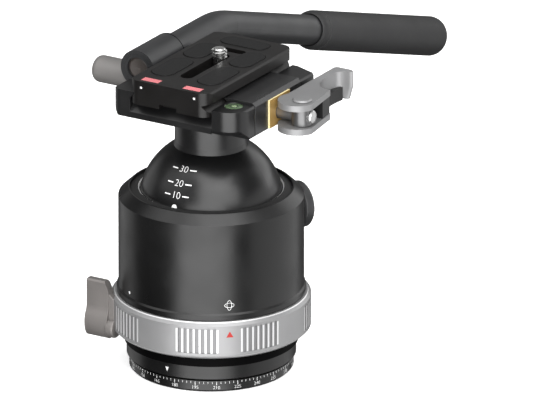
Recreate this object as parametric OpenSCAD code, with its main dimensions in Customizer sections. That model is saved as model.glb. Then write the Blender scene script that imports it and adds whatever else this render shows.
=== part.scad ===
// Hybrid ball and fluid head: panning base, lever-locked ball, clamp with quick plate, pan handle.
// Millimetres. Origin on the tripod axis at the underside of the base, +Z up, plate slides along Y.

/* [Base] */
// Radius of the graduated panning base
base_r = 34; // [30:0.5:40]
// Thickness of the graduated panning base
base_h = 4.8; // [3.6:0.2:8]
// Bevel on the base's lower edge
base_bevel = 0.8; // [0.3:0.1:1.2]
// Radius of the turning cap above the scale
cap_r = 35; // [32:0.5:42]
// Height of the turning cap's visible band
cap_h = 6.6; // [5:0.2:10]
// Tap drill radius of the tripod thread
tripod_r = 4; // [3:0.1:5]
// Radius of the threaded tripod bush
bush_r = 7; // [6.4:0.1:8]
// Radius of the panning spindle
spindle_r = 12; // [11.4:0.2:15]
// Radius of the spindle's retaining flange
flange_r = 17; // [15.4:0.2:22]
// Thickness of the spindle's retaining flange
flange_h = 2.6; // [1.6:0.2:4]
// Shank radius of the base screws
base_screw_r = 1.5; // [1:0.1:1.8]
// Head radius of the base screws
base_screw_head_r = 2.5; // [2:0.1:3]

/* [Housing] */
// Radius of the housing
body_r = 38.3; // [37.4:0.1:44]
// Share of the room from the ball to the housing's outside that is the housing's wall
wall_share = 0.566; // [0.4:0.002:0.6]
// Height of the housing's rim above the ball's centre
rim_rise = 7.3; // [6.5:0.1:9]
// Height of the bevel round the housing's rim
rim_bevel = 3.8; // [2:0.1:6]
// How far the ball's seat lies below the rim
seat_drop = 3.2; // [0.6:0.1:4]
// How far the sleeve that the lock ring turns on lies inside the housing's radius
sleeve_in = 2.3; // [1.5:0.1:4]
// Wall of the sleeve inside the lock ring
sleeve_wall = 3; // [2:0.1:4]
// Thickness of the floor under the ball's springs
web_h = 5; // [3:0.5:7]
// Height of the lip above the lock ring
lip_h = 2.1; // [1.5:0.1:3]
// How far the lip stands out of the housing
lip_out = 0.7; // [0.3:0.1:1.5]

/* [Lock ring] */
// How far the lock ring stands out of the housing
ring_out = 2.9; // [2:0.1:6]
// Height of the lock ring
ring_h = 16; // [13:0.5:18]
// Gap between the turning cap and the lock ring
ring_gap = 5.1; // [4:0.1:8]
// Bevel on the ring's two edges
ring_bevel = 1.5; // [0.5:0.1:2]
// Plain band above and below the ribs
ring_band = 2.6; // [2:0.1:4]
// Number of grooves in each ribbed sector
ribs = 7; // [5:1:9]
// Angle between neighbouring grooves
rib_step = 3.4; // [2.6:0.1:3.8]
// Depth of the grooves
rib_depth = 0.6; // [0.3:0.1:0.9]
// Width of the grooves
rib_w = 1.2; // [0.6:0.1:1.4]
// Angle of the ring's index mark about the axis
index_angle = 312; // [300:1:325]
// Height of the lock lever's paddle
paddle_h = 25; // [20:0.5:30]
// Width of the lock lever's paddle
paddle_w = 10.6; // [8:0.2:14]
// Thickness of the lock lever's paddle
paddle_t = 5; // [4:0.2:7]

/* [Ball] */
// Radius of the ball
ball_r = 30; // [28:0.1:32]
// Height of the ball's centre above the underside
ball_z = 70.8; // [68:0.1:76]
// Wall of the drag cup under the ball
cup_wall = 2.5; // [2:0.1:3]
// Half angle of the drag cup, from straight down
cup_angle = 52; // [44:1:54]
// Radius of the guide pin that keeps the ball in its tilt plane
guide_r = 2; // [1.5:0.1:2.5]
// Depth of the ball's guide groove
groove_depth = 2.6; // [2.2:0.1:4]
// Half angle of the ball's guide groove
groove_angle = 52; // [46:1:60]
// Radius of the neck
neck_r = 15; // [13:0.5:17]
// Height of the ball's centre to the clamp's underside
neck_rise = 43.4; // [40:0.2:50]
// Shank radius of the bolt through the neck
neck_bolt_r = 4; // [3:0.5:5]

/* [Drag knob] */
// Radius of the drag knob
drag_knob_r = 9.7; // [8:0.1:11]
// Thickness of the drag knob
drag_knob_t = 5; // [4:0.2:7]
// Direction of the drag knob about the axis
drag_angle = 61; // [55:1:70]
// How far the drag knob lies below the ball's centre
drag_drop = 8.5; // [8:0.1:9]
// Radius of the drag knob's screw
drag_screw_r = 3; // [2:0.1:3]

/* [Clamp] */
// Length of the clamp along the plate
clamp_l = 64; // [60:1:70]
// Thickness of the clamp's floor
floor_h = 6.7; // [6.4:0.1:9]
// Distance from the axis to the clamp's left face
clamp_left = 22.1; // [21.6:0.1:26]
// Distance from the axis to the front left corner's outer face
corner_left = 28.4; // [25:0.1:30]
// Distance from the axis to the clamp's right face
clamp_right = 32.3; // [31:0.1:36]
// Half length of the moving jaw
jaw_half = 18; // [15:0.5:20]
// How far the jaw and the blocks beside it reach below the floor
jaw_drop = 3.7; // [2:0.1:5]
// Chamfer on the ends of the clamp's floor
floor_chamfer = 4.2; // [0.5:0.1:4.5]
// Height of the scoop under the clamp's front right corner
scoop_h = 2.1; // [1:0.1:3]
// Depth of the scoop under the clamp's front right corner
scoop_depth = 1.2; // [0.4:0.1:1.5]
// Rounding of the clamp's front right corner
corner_round = 9; // [4:0.5:11]
// Radius of the jaw's guide rods
rod_r = 2; // [1.5:0.1:2.5]
// Distance of the guide rods from the middle
rod_y = 11; // [9:0.5:14]
// Radius of the draw bar
draw_r = 3; // [2.5:0.1:3.2]
// Radius of the bubble level
level_r = 4.1; // [3:0.1:4.3]

/* [Cam lever] */
// Radius of the lever's cam
cam_r = 8.2; // [7:0.1:9]
// Offset of the cam from its pivot
cam_offset = 2.2; // [2:0.1:3]
// Radius of the cam's pivot pin
cam_pin_r = 2.5; // [2:0.1:2.8]
// Height of the lever's fork
lever_h = 12.9; // [12.5:0.1:15]
// Thickness of each of the fork's plates
fork_t = 2.6; // [2:0.1:3]
// Length of the lever from its pivot
lever_l = 35; // [31:0.5:44]
// How far the lever's tip rises above its fork
lever_lift = 4.4; // [1:0.1:6]
// Width of the lever's arm
lever_w = 13; // [10:0.5:13.5]
// Thickness of the brass thrust plate
thrust_t = 0.7; // [0.5:0.1:1.5]

/* [Quick plate] */
// Width of the plate
plate_w = 38.4; // [38:0.1:40]
// Length of the plate
plate_l = 68.4; // [60:0.2:80]
// Thickness of the plate
plate_h = 10.5; // [10:0.1:12]
// Width across the foot of the dovetail
dovetail_w = 38; // [36:0.1:38]
// Height of the dovetail's flanks
dovetail_h = 3; // [2.5:0.1:3]
// Thickness of the lip under the flanks
dovetail_lip = 1.5; // [1:0.1:1.8]
// Corner radius of the plate
plate_round = 5; // [3:0.5:8]
// Radius of the camera screw
screw_r = 3.175; // [2.5:0.025:3.2]
// Length of the camera screw above the plate
screw_out = 4.4; // [3:0.1:6]
// Place of the camera screw along the plate
screw_y = 6.6; // [-16:0.1:8]
// Front end of the plate's slot
slot_front = -21.5; // [-24:0.5:-18]
// Rear end of the plate's slot
slot_rear = 12; // [11.5:0.1:13]
// Width of the plate's slot
slot_w = 5.8; // [5.6:0.1:6.2]
// Radius of the camera screw's head
screw_head_r = 6.9; // [6:0.1:7.2]
// Corner radius of the grip pads
pad_round = 5; // [2:0.5:5]
// Distance of the stop tabs from the middle
tab_x = 9.9; // [7:0.1:11]
// Width of the stop tabs
tab_w = 8.2; // [5:0.1:10]
// Length of the stop tabs along the plate
tab_l = 3.7; // [2.5:0.1:4.5]
// Width of the notch in the plate's front
notch_w = 8.4; // [5:0.1:12]
// Height that the grip pads stand above the plate
pad_proud = 0.3; // [0.1:0.05:0.5]

/* [Pan handle] */
// Radius of the handle's tube
bar_r = 6.4; // [5.5:0.1:7]
// Wall of the handle's tube
bar_wall = 1.4; // [1:0.1:2]
// Distance from the axis to the handle
bar_x = 30.5; // [30:0.1:34]
// Height of the handle above the clamp's underside
bar_rise = 11.5; // [11:0.1:13]
// Front end of the handle, along Y
bar_front = -8; // [-10:0.5:-6]
// Place of the handle's bend, along Y
bend_y = 54.2; // [50:0.5:70]
// Downward bend of the handle
bend_angle = 18.6; // [10:0.2:25]
// Radius of the handle's bend, at the middle of the tube
bend_r = 40; // [25:1:60]
// Length of the handle from the bend to its end
bar_tail = 185; // [150:1:220]
// Length of the rubber grip
grip_l = 107; // [80:1:120]
// Radius of the rubber grip
grip_r = 8.4; // [7.6:0.1:12]
// Wall of the ring that holds the handle
socket_wall = 1.65; // [1.4:0.05:3]
// Length of the ring that holds the handle
socket_l = 25; // [20:0.5:25.5]
// Radius of the handle's lock knob
knob_r = 5.7; // [5:0.1:7]
// Length of the handle's lock knob
knob_l = 19.3; // [14:0.1:22]
// Radius of the lock knob's screw
knob_screw_r = 1.6; // [1.5:0.1:2]

/* [Fits] */
// Clearance between pieces that move past each other
gap = 0.3; // [0.25:0.01:0.4]
// Radial clearance of a shaft in its bearing
run = 0.05; // [0.02:0.01:0.08]

/* [Hidden] */
$fn = 96;
// Height of the seam between the scale and the turning cap
seam_h = 0.4;
// Levels of the base and the housing
cap_z = base_h + seam_h;
cap_top = cap_z + cap_h;
cap_floor = 1.8;
cap_deck = cap_top + cap_floor;
washer_t = 0.35;
flange_z = cap_deck + washer_t + run;
ring_z = cap_top + ring_gap;
ring_top = ring_z + ring_h;
body_top = ball_z + rim_rise;
bore_r = body_r - wall_share * (body_r - ball_r);
sleeve_r = body_r - sleeve_in;
ring_r = body_r + ring_out;
web_z = ring_top - web_h - gap;
spring_h = 2.6;
ring_seat_z = web_z + web_h + spring_h;
// Screws of the base
base_screw_ring = (bush_r + spindle_r) / 2;
base_screw_l = flange_z - 1;
base_screw_count = 4;
// Ball, cup and seats
cup_in = ball_r + gap;
cup_out = cup_in + cup_wall;
seat_in = cup_out + gap;
neck_z = ball_z + 0.857 * ball_r;
bolt_in = ball_r * 2 / 3;
clamp_z = ball_z + neck_rise;
floor_z = clamp_z + floor_h;
// Lock lever
ribbed_sectors = [-19, 19, -70, 70, -121, 121, 172];
lever_y = -0.68 * ring_r;
lever_root = 6;
paddle_top = ring_top + 5.7;
// Drag knob
drag_z = ball_z - drag_drop;
drag_face = body_r + 1;
tip_in = sqrt(pow(ball_r, 2) - pow(drag_drop - drag_screw_r, 2)) + gap;
// Plate and jaws
plate_z = floor_z + gap + 0.1;
plate_top = plate_z + plate_h;
flank_z = plate_z + dovetail_lip;
flank_top = flank_z + dovetail_h;
flank_in = dovetail_w / 2 - dovetail_h;
jaw_foot = dovetail_w / 2 + gap * sqrt(2);
jaw_top = flank_top - 0.2;
jaw_tip = jaw_foot - (jaw_top - flank_z);
block_top = jaw_top - 1;
block_in = jaw_foot + gap;
keel_z = clamp_z - jaw_drop;
keel_y = jaw_half + gap + 2.5;
scoop_y = keel_y + (scoop_h + jaw_drop) * 1.3;
draw_z = clamp_z + floor_h * 0.43;
bolt_head_r = neck_bolt_r + 2.5;
bolt_head_h = 4.5;
// Cam lever
cam_x = clamp_right + thrust_t + gap + cam_r;
pivot_x = cam_x + cam_offset;
lever_z = draw_z - lever_h / 2;
fork_z = lever_z + fork_t;
fork_gap = lever_h - 2 * fork_t;
eye_r = cam_pin_r + 2;
// Camera screw
pocket_r = screw_head_r + 0.6;
pocket_top = plate_z + 4.3;
washer_z = pocket_top - gap - 0.4;
head_h = 3;
shank_r = screw_r - 0.55;
thread_z = plate_top + pad_proud + run;
// Pan handle
bar_z = clamp_z + bar_rise;
socket_r = bar_r + run + socket_wall;
knob_y = bar_front + socket_l / 2;
knob_z = bar_z - bar_r - knob_screw_r - gap;
lug_in = clamp_left + gap;
lug_out = bar_x + socket_r;
grip_nose = 6;
end_wall = 3;
// Step and lap, in degrees, where the handle's bend runs into its legs
bend_step = 0.02;
bend_lap = 0.5;
// Names of the pieces

// A disc or a bush between two heights.
module bush(r_out, r_in, z0, z1) {
    translate([0, 0, z0])
        difference() {
            cylinder(r = r_out, h = z1 - z0);
            if (r_in > 0) translate([0, 0, -1]) cylinder(r = r_in, h = z1 - z0 + 2);
        }
}

// A flat rounded rectangle between two corners.
module round_rect(x0, y0, x1, y1, r) {
    translate([x0 + r, y0]) square([x1 - x0 - 2 * r, y1 - y0]);
    translate([x0, y0 + r]) square([x1 - x0, y1 - y0 - 2 * r]);
    for (x = [x0 + r, x1 - r], y = [y0 + r, y1 - r]) translate([x, y]) circle(r);
}

// A slot with round ends along Y.
module slot_y(x, y0, y1, w) {
    translate([x - w / 2, y0 + w / 2]) square([w, y1 - y0 - w]);
    for (y = [y0 + w / 2, y1 - w / 2]) translate([x, y]) circle(w / 2);
}

// Stands a section drawn in X and Z up and extrudes it from y0 to y1.
module along_y(y0, y1) {
    translate([0, y1, 0]) rotate([90, 0, 0]) linear_extrude(y1 - y0) children();
}

// Turns a section drawn in Y and Z and extrudes it from x0 to x1.
module along_x(x0, x1) {
    translate([x0, 0, 0]) rotate([90, 0, 90]) linear_extrude(x1 - x0) children();
}

// A round bar along X at a given height and place.
module rod_x(r, x0, x1, y, z) {
    translate([x0, y, z]) rotate([0, 90, 0]) cylinder(r = r, h = x1 - x0);
}

// Puts its children at each of the base's screws.
module at_base_screws() {
    for (i = [0 : base_screw_count - 1])
        rotate([0, 0, 45 + i * 360 / base_screw_count]) translate([base_screw_ring, 0, 0]) children();
}

// Turns its children's +Z to the drag knob's direction.
module on_drag_axis() {
    translate([0, 0, drag_z]) rotate([0, 90, drag_angle]) children();
}

// Puts its children, drawn along +Z, on the handle's second leg.
module on_handle_tail() {
    translate([-bar_x, bend_y, bar_z]) rotate([-90 - bend_angle, 0, 0]) children();
}

module base_screw(extra) {
    cylinder(r = base_screw_r, h = base_screw_l);
    translate([0, 0, -extra]) cylinder(r = base_screw_head_r, h = 1.6 + extra);
}

module pan_base() {
    color([0.05, 0.05, 0.05])
        difference() {
            rotate_extrude()
                polygon([[bush_r, 0], [base_r - base_bevel, 0], [base_r, base_bevel], [base_r, base_h],
                         [bush_r, base_h]]);
            translate([0, 0, 0.4]) at_base_screws() base_screw(1);
        }
}

module thread_bush() {
    color([0.6, 0.6, 0.6]) bush(bush_r, tripod_r, 0, flange_z);
}

module pan_spindle() {
    color([0.5, 0.5, 0.5])
        difference() {
            rotate_extrude()
                polygon([[bush_r, base_h], [spindle_r, base_h], [spindle_r, flange_z], [flange_r, flange_z],
                         [flange_r, flange_z + flange_h], [bush_r, flange_z + flange_h]]);
            translate([0, 0, 0.4]) at_base_screws() base_screw(0);
        }
}

module base_screws() {
    color([0.4, 0.4, 0.4]) translate([0, 0, 0.4]) at_base_screws() base_screw(0);
}

module turning_cap() {
    color([0.05, 0.05, 0.05])
        rotate_extrude()
            polygon([[spindle_r + run, cap_z], [cap_r - 1, cap_z], [cap_r, cap_z + 0.8], [cap_r, cap_top],
                     [sleeve_r - sleeve_wall, cap_top], [sleeve_r - sleeve_wall, cap_deck],
                     [spindle_r + run, cap_deck]]);
}

module bearing_washer() {
    color([0.8, 0.8, 0.75]) bush(flange_r, spindle_r + run, cap_deck, cap_deck + washer_t);
}

module housing() {
    color([0.05, 0.05, 0.05])
        difference() {
            rotate_extrude()
                polygon([
                    [sleeve_r - sleeve_wall, cap_top], [sleeve_r, cap_top], [sleeve_r, ring_top + gap],
                    [body_r + lip_out, ring_top + gap], [body_r + lip_out, ring_top + gap + lip_h],
                    [body_r, ring_top + gap + lip_h + lip_out], [body_r, body_top - rim_bevel],
                    [bore_r + 0.6, body_top], [bore_r, body_top], [bore_r, web_z + web_h],
                    [flange_r + 1, web_z + web_h], [flange_r + 1, web_z], [sleeve_r - sleeve_wall, web_z]
                ]);
            on_drag_axis() cylinder(r = drag_screw_r + run, h = body_r + 1);
        }
}

module disc_spring() {
    inner = cup_out * 0.62;
    color([0.6, 0.6, 0.62])
        rotate_extrude()
            polygon([[bore_r - 0.3, web_z + web_h], [bore_r - 0.3, web_z + web_h + 1.2],
                     [inner, ring_seat_z], [inner, ring_seat_z - 1.2], [bore_r - 1.6, web_z + web_h]]);
}

module pressure_ring() {
    color([0.75, 0.65, 0.4])
        rotate_extrude()
            difference() {
                translate([cup_out * 0.62, ring_seat_z])
                    square([bore_r - run - cup_out * 0.62, ball_z - 0.62 * seat_in - ring_seat_z]);
                translate([0, ball_z]) circle(seat_in);
            }
}

module seat_ring() {
    color([0.1, 0.1, 0.1])
        rotate_extrude()
            difference() {
                translate([ball_r - 4, ball_z + 1]) square([bore_r - run - ball_r + 4, rim_rise - 1 - seat_drop]);
                translate([0, ball_z]) circle(ball_r + gap);
            }
}

// Grooves of the ribbed sectors, seen from above.
module ring_grooves() {
    for (sector = ribbed_sectors, i = [0 : ribs - 1])
        rotate(index_angle + sector + (i - (ribs - 1) / 2) * rib_step)
            translate([ring_r - rib_depth, -rib_w / 2]) square([rib_depth + 1, rib_w]);
}

module lock_ring() {
    color([0.6, 0.6, 0.62])
        difference() {
            rotate_extrude()
                polygon([
                    [sleeve_r + gap, ring_z], [ring_r - ring_bevel, ring_z], [ring_r, ring_z + ring_bevel],
                    [ring_r, ring_top - ring_bevel], [ring_r - ring_bevel, ring_top], [sleeve_r + gap, ring_top]
                ]);
            translate([0, 0, ring_z + ring_band]) linear_extrude(ring_h - 2 * ring_band) ring_grooves();
        }
}

// Side view of the lock lever's paddle: a thin upper blade over a thicker foot.
module paddle_side() {
    back = lever_y + paddle_t / 2;
    blade = lever_y - paddle_t * 0.3;
    foot = lever_y - paddle_t * 0.66;
    low = paddle_top - paddle_h;
    polygon([
        [back, low], [foot + 1.5, low], [foot, low + 1.5], [foot, low + paddle_h * 0.3],
        [foot + 0.6, low + paddle_h * 0.37], [blade, low + paddle_h * 0.43], [blade, paddle_top - 1],
        [blade + 1, paddle_top], [back, paddle_top]
    ]);
}

module lock_lever() {
    outer = -ring_r - 1.1;
    inner = outer + paddle_w;
    low = paddle_top - paddle_h;
    color([0.4, 0.4, 0.41])
        difference() {
            union() {
                intersection() {
                    along_y(lever_y - paddle_t, lever_y + paddle_t) round_rect(outer, low, inner, paddle_top, 2);
                    along_x(outer - 1, inner + 1) paddle_side();
                }
                along_y(lever_y - paddle_t * 0.3 + 0.4, lever_y + paddle_t / 2 - 0.4)
                    polygon([[inner - 2, paddle_top - 4], [inner + lever_root, ring_top - ring_bevel],
                             [inner + lever_root, ring_z + ring_bevel], [inner - 2, low + 4]]);
            }
            translate([0, 0, ring_z - ring_h]) cylinder(r = ring_r, h = 4 * ring_h);
        }
}

module drag_cup() {
    color([0.8, 0.72, 0.5])
        difference() {
            rotate_extrude()
                intersection() {
                    difference() {
                        translate([0, ball_z]) circle(cup_out);
                        translate([0, ball_z]) circle(cup_in);
                    }
                    translate([0, ball_z - cup_out]) square([cup_out, cup_out * (1 - cos(cup_angle))]);
                }
            translate([0, 0, ball_z - cup_out - 1]) cylinder(r = guide_r, h = cup_wall + 2);
        }
}

module guide_pin() {
    color([0.6, 0.6, 0.62]) bush(guide_r, 0, ball_z - cup_out + 0.5, ball_z - ball_r + groove_depth - 2 * gap);
}

module ball() {
    color([0.04, 0.04, 0.04])
        translate([0, 0, ball_z])
            difference() {
                sphere(ball_r, $fn = 128);
                translate([-ball_r, -ball_r, neck_z - ball_z]) cube(2 * ball_r);
                translate([0, 0, neck_z - ball_z - bolt_in]) cylinder(r = neck_bolt_r, h = ball_r);
                difference() {
                    rotate([0, 90, 0]) cylinder(r = ball_r + 1, h = 2 * (guide_r + gap), center = true);
                    rotate([0, 90, 0]) cylinder(r = ball_r - groove_depth, h = 3 * guide_r, center = true);
                    translate([-ball_r, -2 * ball_r, -ball_r * cos(groove_angle)]) cube(4 * ball_r);
                }
            }
}

module neck() {
    bead = 0.9;
    foot_r = sqrt(pow(ball_r, 2) - pow(neck_z - ball_z, 2));
    color([0.06, 0.06, 0.06])
        rotate_extrude()
            polygon([[neck_bolt_r, neck_z], [foot_r, neck_z], [neck_r, neck_z + 2.4 * bead],
                     [neck_r, clamp_z - bead], [neck_r + bead, clamp_z], [neck_bolt_r, clamp_z]]);
}

module neck_bolt() {
    socket_r = neck_bolt_r * 0.8;
    seat = floor_z - bolt_head_h - gap;
    color([0.3, 0.3, 0.3])
        difference() {
            union() {
                bush(neck_bolt_r, 0, neck_z - 0.8 * bolt_in, seat);
                bush(bolt_head_r, 0, seat, seat + bolt_head_h);
            }
            translate([0, 0, seat + bolt_head_h - 3]) cylinder(r = socket_r, h = 4, $fn = 6);
        }
}

// Section of the clamp across the plate: floor, fixed dovetail jaw and right-hand blocks.
module clamp_section() {
    chamfer = 2.8;
    polygon([
        [chamfer - corner_left, clamp_z], [block_in, clamp_z], [block_in, keel_z],
        [clamp_right - 1.5, keel_z], [clamp_right, keel_z + 1.5], [clamp_right, block_top - 0.8], [clamp_right - 0.8, block_top], [block_in, block_top],
        [block_in, floor_z], [-jaw_foot, floor_z], [-jaw_foot, flank_z], [-jaw_tip, jaw_top],
        [1 - corner_left, jaw_top], [-corner_left, jaw_top - 1], [-corner_left, clamp_z + 1.3 * chamfer]
    ]);
}

// Plan of the clamp: floor, front left corner and the two blocks beside the moving jaw.
module clamp_plan() {
    half = clamp_l / 2;
    block_y = jaw_half + gap;
    round_rect(-clamp_left, -half, block_in, half, 2);
    round_rect(-corner_left, -half, 0, 0.5 - block_y, 4.5);
    difference() {
        round_rect(0, -half, clamp_right, -block_y, 0.5);
        translate([clamp_right - corner_round, -half - 1]) square([corner_round + 1, corner_round + 1]);
    }
    translate([clamp_right - corner_round, corner_round - half]) circle(corner_round);
    polygon([[0, block_y], [clamp_right, block_y], [clamp_right, half - 4], [clamp_right - 10, half], [0, half]]);
}

// Chamfers on the two ends of the clamp's floor, under the plate.
module floor_chamfers() {
    half = clamp_l / 2;
    for (side = [0, 1])
        mirror([0, side, 0])
            along_x(-jaw_foot, block_in)
                polygon([[-half - 1, floor_z - floor_chamfer - 1], [floor_chamfer - half, floor_z],
                         [floor_chamfer - half, floor_z + 0.5], [-half - 1, floor_z + 0.5]]);
}

// Slopes under the ends of the blocks beside the jaw.
module block_slopes() {
    for (side = [0, 1])
        mirror([0, side, 0])
            along_x(block_in - 1, clamp_right + 1)
                polygon([[-clamp_l, keel_z - 1], [-clamp_l, clamp_z], [-keel_y - 1.3 * jaw_drop, clamp_z],
                         [-keel_y, keel_z], [-keel_y, keel_z - 1]]);
}

// Scoop that slopes in under the clamp's front right corner.
module corner_scoop() {
    half = clamp_l / 2;
    lean = scoop_depth / scoop_h;
    low = clamp_z - 1;
    high = clamp_z + scoop_h + 1;
    inset = lean * (scoop_h + 1);
    difference() {
        along_x(block_in, clamp_right + 1)
            polygon([[-clamp_l, low], [-clamp_l, clamp_z + scoop_h], [-scoop_y, clamp_z + scoop_h],
                     [-keel_y - 1.3 * jaw_drop, clamp_z], [-keel_y - 1.3 * jaw_drop, low]]);
        translate([clamp_right - corner_round, corner_round - half, low])
            cylinder(r1 = corner_round - inset, r2 = corner_round + lean, h = high - low);
        along_x(0, clamp_right - corner_round)
            polygon([[inset - half, low], [-half - lean, high], [0, high], [0, low]]);
        along_y(corner_round - half, 0)
            polygon([[0, low], [clamp_right - inset, low], [clamp_right + lean, high], [0, high]]);
    }
}

module clamp_base() {
    color([0.06, 0.06, 0.06])
        difference() {
            intersection() {
                along_y(-clamp_l / 2, clamp_l / 2) clamp_section();
                translate([0, 0, keel_z - 1]) linear_extrude(30) clamp_plan();
            }
            translate([block_in - 0.4, -jaw_half - gap, keel_z - 1]) cube([30, 2 * (jaw_half + gap), 30]);
            translate([0, 0, clamp_z - 1]) cylinder(r = neck_bolt_r, h = 20);
            translate([0, 0, floor_z - bolt_head_h - gap]) cylinder(r = bolt_head_r, h = 20);
            rod_x(draw_r, block_in - 10, block_in + 1, 0, draw_z);
            for (y = [-rod_y, rod_y]) rod_x(rod_r, block_in - 8, block_in + 1, y, draw_z);
            rod_x(knob_screw_r + run, -clamp_left - 1, -clamp_left + 9, knob_y, knob_z);
            level_place() cylinder(r = level_r, h = 10);
            floor_chamfers();
            block_slopes();
            corner_scoop();
        }
}

// Puts its children in the bubble level's pocket.
module level_place() {
    translate([block_in + level_r + 0.8, -clamp_l / 2 + 9.5, block_top - 3]) children();
}

module bubble_level() {
    color([0.35, 0.6, 0.3]) level_place() cylinder(r = level_r, h = 3);
}

module guide_rods() {
    color([0.7, 0.7, 0.7])
        for (y = [-rod_y, rod_y]) rod_x(rod_r, block_in - 8, clamp_right - 1, y, draw_z);
}

module draw_bar() {
    color([0.7, 0.7, 0.72])
        difference() {
            union() {
                rod_x(draw_r, block_in - 10, pivot_x, 0, draw_z);
                translate([pivot_x, 0, fork_z + gap]) cylinder(r = eye_r, h = fork_gap - 2 * gap);
            }
            translate([pivot_x, 0, lever_z]) cylinder(r = cam_pin_r, h = lever_h);
        }
}

module cam_pin() {
    color([0.65, 0.65, 0.67]) {
        translate([pivot_x, 0, lever_z + gap]) cylinder(r = cam_pin_r, h = lever_h);
        translate([pivot_x, 0, lever_z + lever_h + gap]) cylinder(r1 = cam_pin_r + 1.6, r2 = cam_pin_r + 1, h = 0.7);
    }
}

// Section of the moving jaw across the plate.
module jaw_section() {
    low = keel_z;
    polygon([
        [jaw_tip, jaw_top], [jaw_foot, flank_z], [jaw_foot, floor_z + gap], [block_in, floor_z + gap],
        [block_in, low + 1.5], [block_in + 1.5, low], [clamp_right - 1.5, low], [clamp_right, low + 1.5],
        [clamp_right, jaw_top - 1.5], [clamp_right - 1.5, jaw_top]
    ]);
}

module moving_jaw() {
    color([0.06, 0.06, 0.06])
        difference() {
            along_y(-jaw_half, jaw_half) jaw_section();
            rod_x(draw_r + gap, block_in - 1, clamp_right + 1, 0, draw_z);
            for (y = [-rod_y, rod_y]) rod_x(rod_r + run, block_in - 1, clamp_right - 0.5, y, draw_z);
        }
}

module thrust_plate() {
    half = 8;
    color([0.8, 0.6, 0.25])
        difference() {
            translate([clamp_right, -half, lever_z + 1]) cube([thrust_t, 2 * half, lever_h - 0.6]);
            rod_x(draw_r + gap, clamp_right - 1, clamp_right + thrust_t + 1, 0, draw_z);
        }
}

// Plan of the cam lever: round cam and a straight arm with a rounded tip.
module lever_plan() {
    arm_x = clamp_right + thrust_t + gap + 0.7;
    translate([cam_x, 0]) circle(cam_r);
    round_rect(arm_x, -1, arm_x + lever_w, lever_l, 4);
}

// Side view of the cam lever: deep fork and a slim arm that lifts to its tip.
module lever_side() {
    top = lever_z + lever_h;
    polygon([
        [-cam_r - 1, lever_z], [lever_l * 0.34, lever_z], [lever_l * 0.42, fork_z], [lever_l * 0.42, top - 3.4],
        [lever_l * 0.62, top - 3.1], [lever_l * 0.82, top - 1.6], [lever_l, top + lever_lift - 4],
        [lever_l, top + lever_lift - 0.6], [lever_l * 0.93, top + lever_lift], [lever_l * 0.84, top + lever_lift - 0.2],
        [lever_l * 0.64, top + 1.2], [lever_l * 0.46, top], [-cam_r - 1, top]
    ]);
}

module cam_lever() {
    color([0.6, 0.6, 0.6])
        difference() {
            intersection() {
                translate([0, 0, lever_z - 1]) linear_extrude(lever_h + lever_lift + 2) lever_plan();
                along_x(clamp_right, pivot_x + lever_l) lever_side();
            }
            translate([clamp_right, -cam_r - 1, fork_z]) cube([lever_l, cam_r + 1 + lever_l * 0.26, fork_gap]);
            translate([pivot_x, 0, lever_z - 1]) cylinder(r = cam_pin_r + run, h = lever_h + 4);
        }
}

module lever_pad() {
    top = lever_z + lever_h;
    inset = 0.8;
    arm_x = clamp_right + thrust_t + gap + 0.7;
    color([0.12, 0.12, 0.12])
        along_x(arm_x + inset, arm_x + lever_w - inset)
            polygon([[lever_l * 0.42, fork_z], [lever_l * 0.52, fork_z], [lever_l * 0.72, fork_z + 3],
                     [lever_l * 0.86, top - 5], [lever_l * 0.86, top - 1.6 + 0.22 * (lever_lift - 2.4)],
                     [lever_l * 0.82, top - 1.6], [lever_l * 0.62, top - 3.1], [lever_l * 0.42, top - 3.4]]);
}

// Section of the quick plate: wide flange over a dovetail foot.
module plate_section() {
    foot = dovetail_w / 2;
    flange = plate_w / 2;
    half = [
        [foot, plate_z], [foot, flank_z], [flank_in, flank_top], [flank_in, flank_top + 0.4],
        [flange, flank_top + 1.2], [flange, plate_top - 0.8], [flange - 0.8, plate_top]
    ];
    polygon(concat(half, [for (i = [len(half) - 1 : -1 : 0]) [-half[i][0], half[i][1]]]));
}

module pads_plan(inset) {
    pad_in = 5.6 + inset;
    pad_out = plate_w / 2 - 2.8 - inset;
    for (side = [-1, 1]) {
        low = side > 0 ? pad_in : -pad_out;
        high = side > 0 ? pad_out : -pad_in;
        round_rect(low, slot_front - 2.5 + inset, high, -1 - inset, pad_round);
        round_rect(low, 1 + inset, high, slot_rear + 8 - inset, pad_round);
    }
    round_rect(-11 + inset, slot_rear + 10.6 + inset, 11 - inset, plate_l / 2 - 2.4 - inset, 0.8 * pad_round);
}

module tabs_plan() {
    for (side = [-1, 1]) translate([side * tab_x, tab_l - plate_l / 2]) square([tab_w, tab_l], center = true);
}

module quick_plate() {
    pad_floor = plate_top - 1.2;
    color([0.07, 0.07, 0.07])
        difference() {
            intersection() {
                along_y(-plate_l / 2, plate_l / 2) plate_section();
                translate([0, 0, plate_z - 1])
                    linear_extrude(plate_h + 2)
                        round_rect(-plate_w / 2, -plate_l / 2, plate_w / 2, plate_l / 2, plate_round);
            }
            translate([0, 0, pocket_top - 1]) linear_extrude(2 * plate_h) slot_y(0, slot_front, slot_rear, slot_w);
            translate([0, 0, plate_z - 1])
                linear_extrude(pocket_top - plate_z + 1)
                    slot_y(0, slot_front + slot_w / 2 - pocket_r, slot_rear - slot_w / 2 + pocket_r, 2 * pocket_r);
            translate([0, 0, plate_z - 1]) linear_extrude(2 * plate_h) rotate(90) slot_y(slot_rear + 5, -6, 6, 4);
            translate([-notch_w / 2, -plate_l / 2 - 1, plate_z - 1]) cube([notch_w, tab_l + 1, dovetail_lip + 1.6]);
            translate([0, 0, pad_floor]) linear_extrude(plate_h) pads_plan(0);
            translate([0, 0, pad_floor]) linear_extrude(plate_h) tabs_plan();
        }
}

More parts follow.
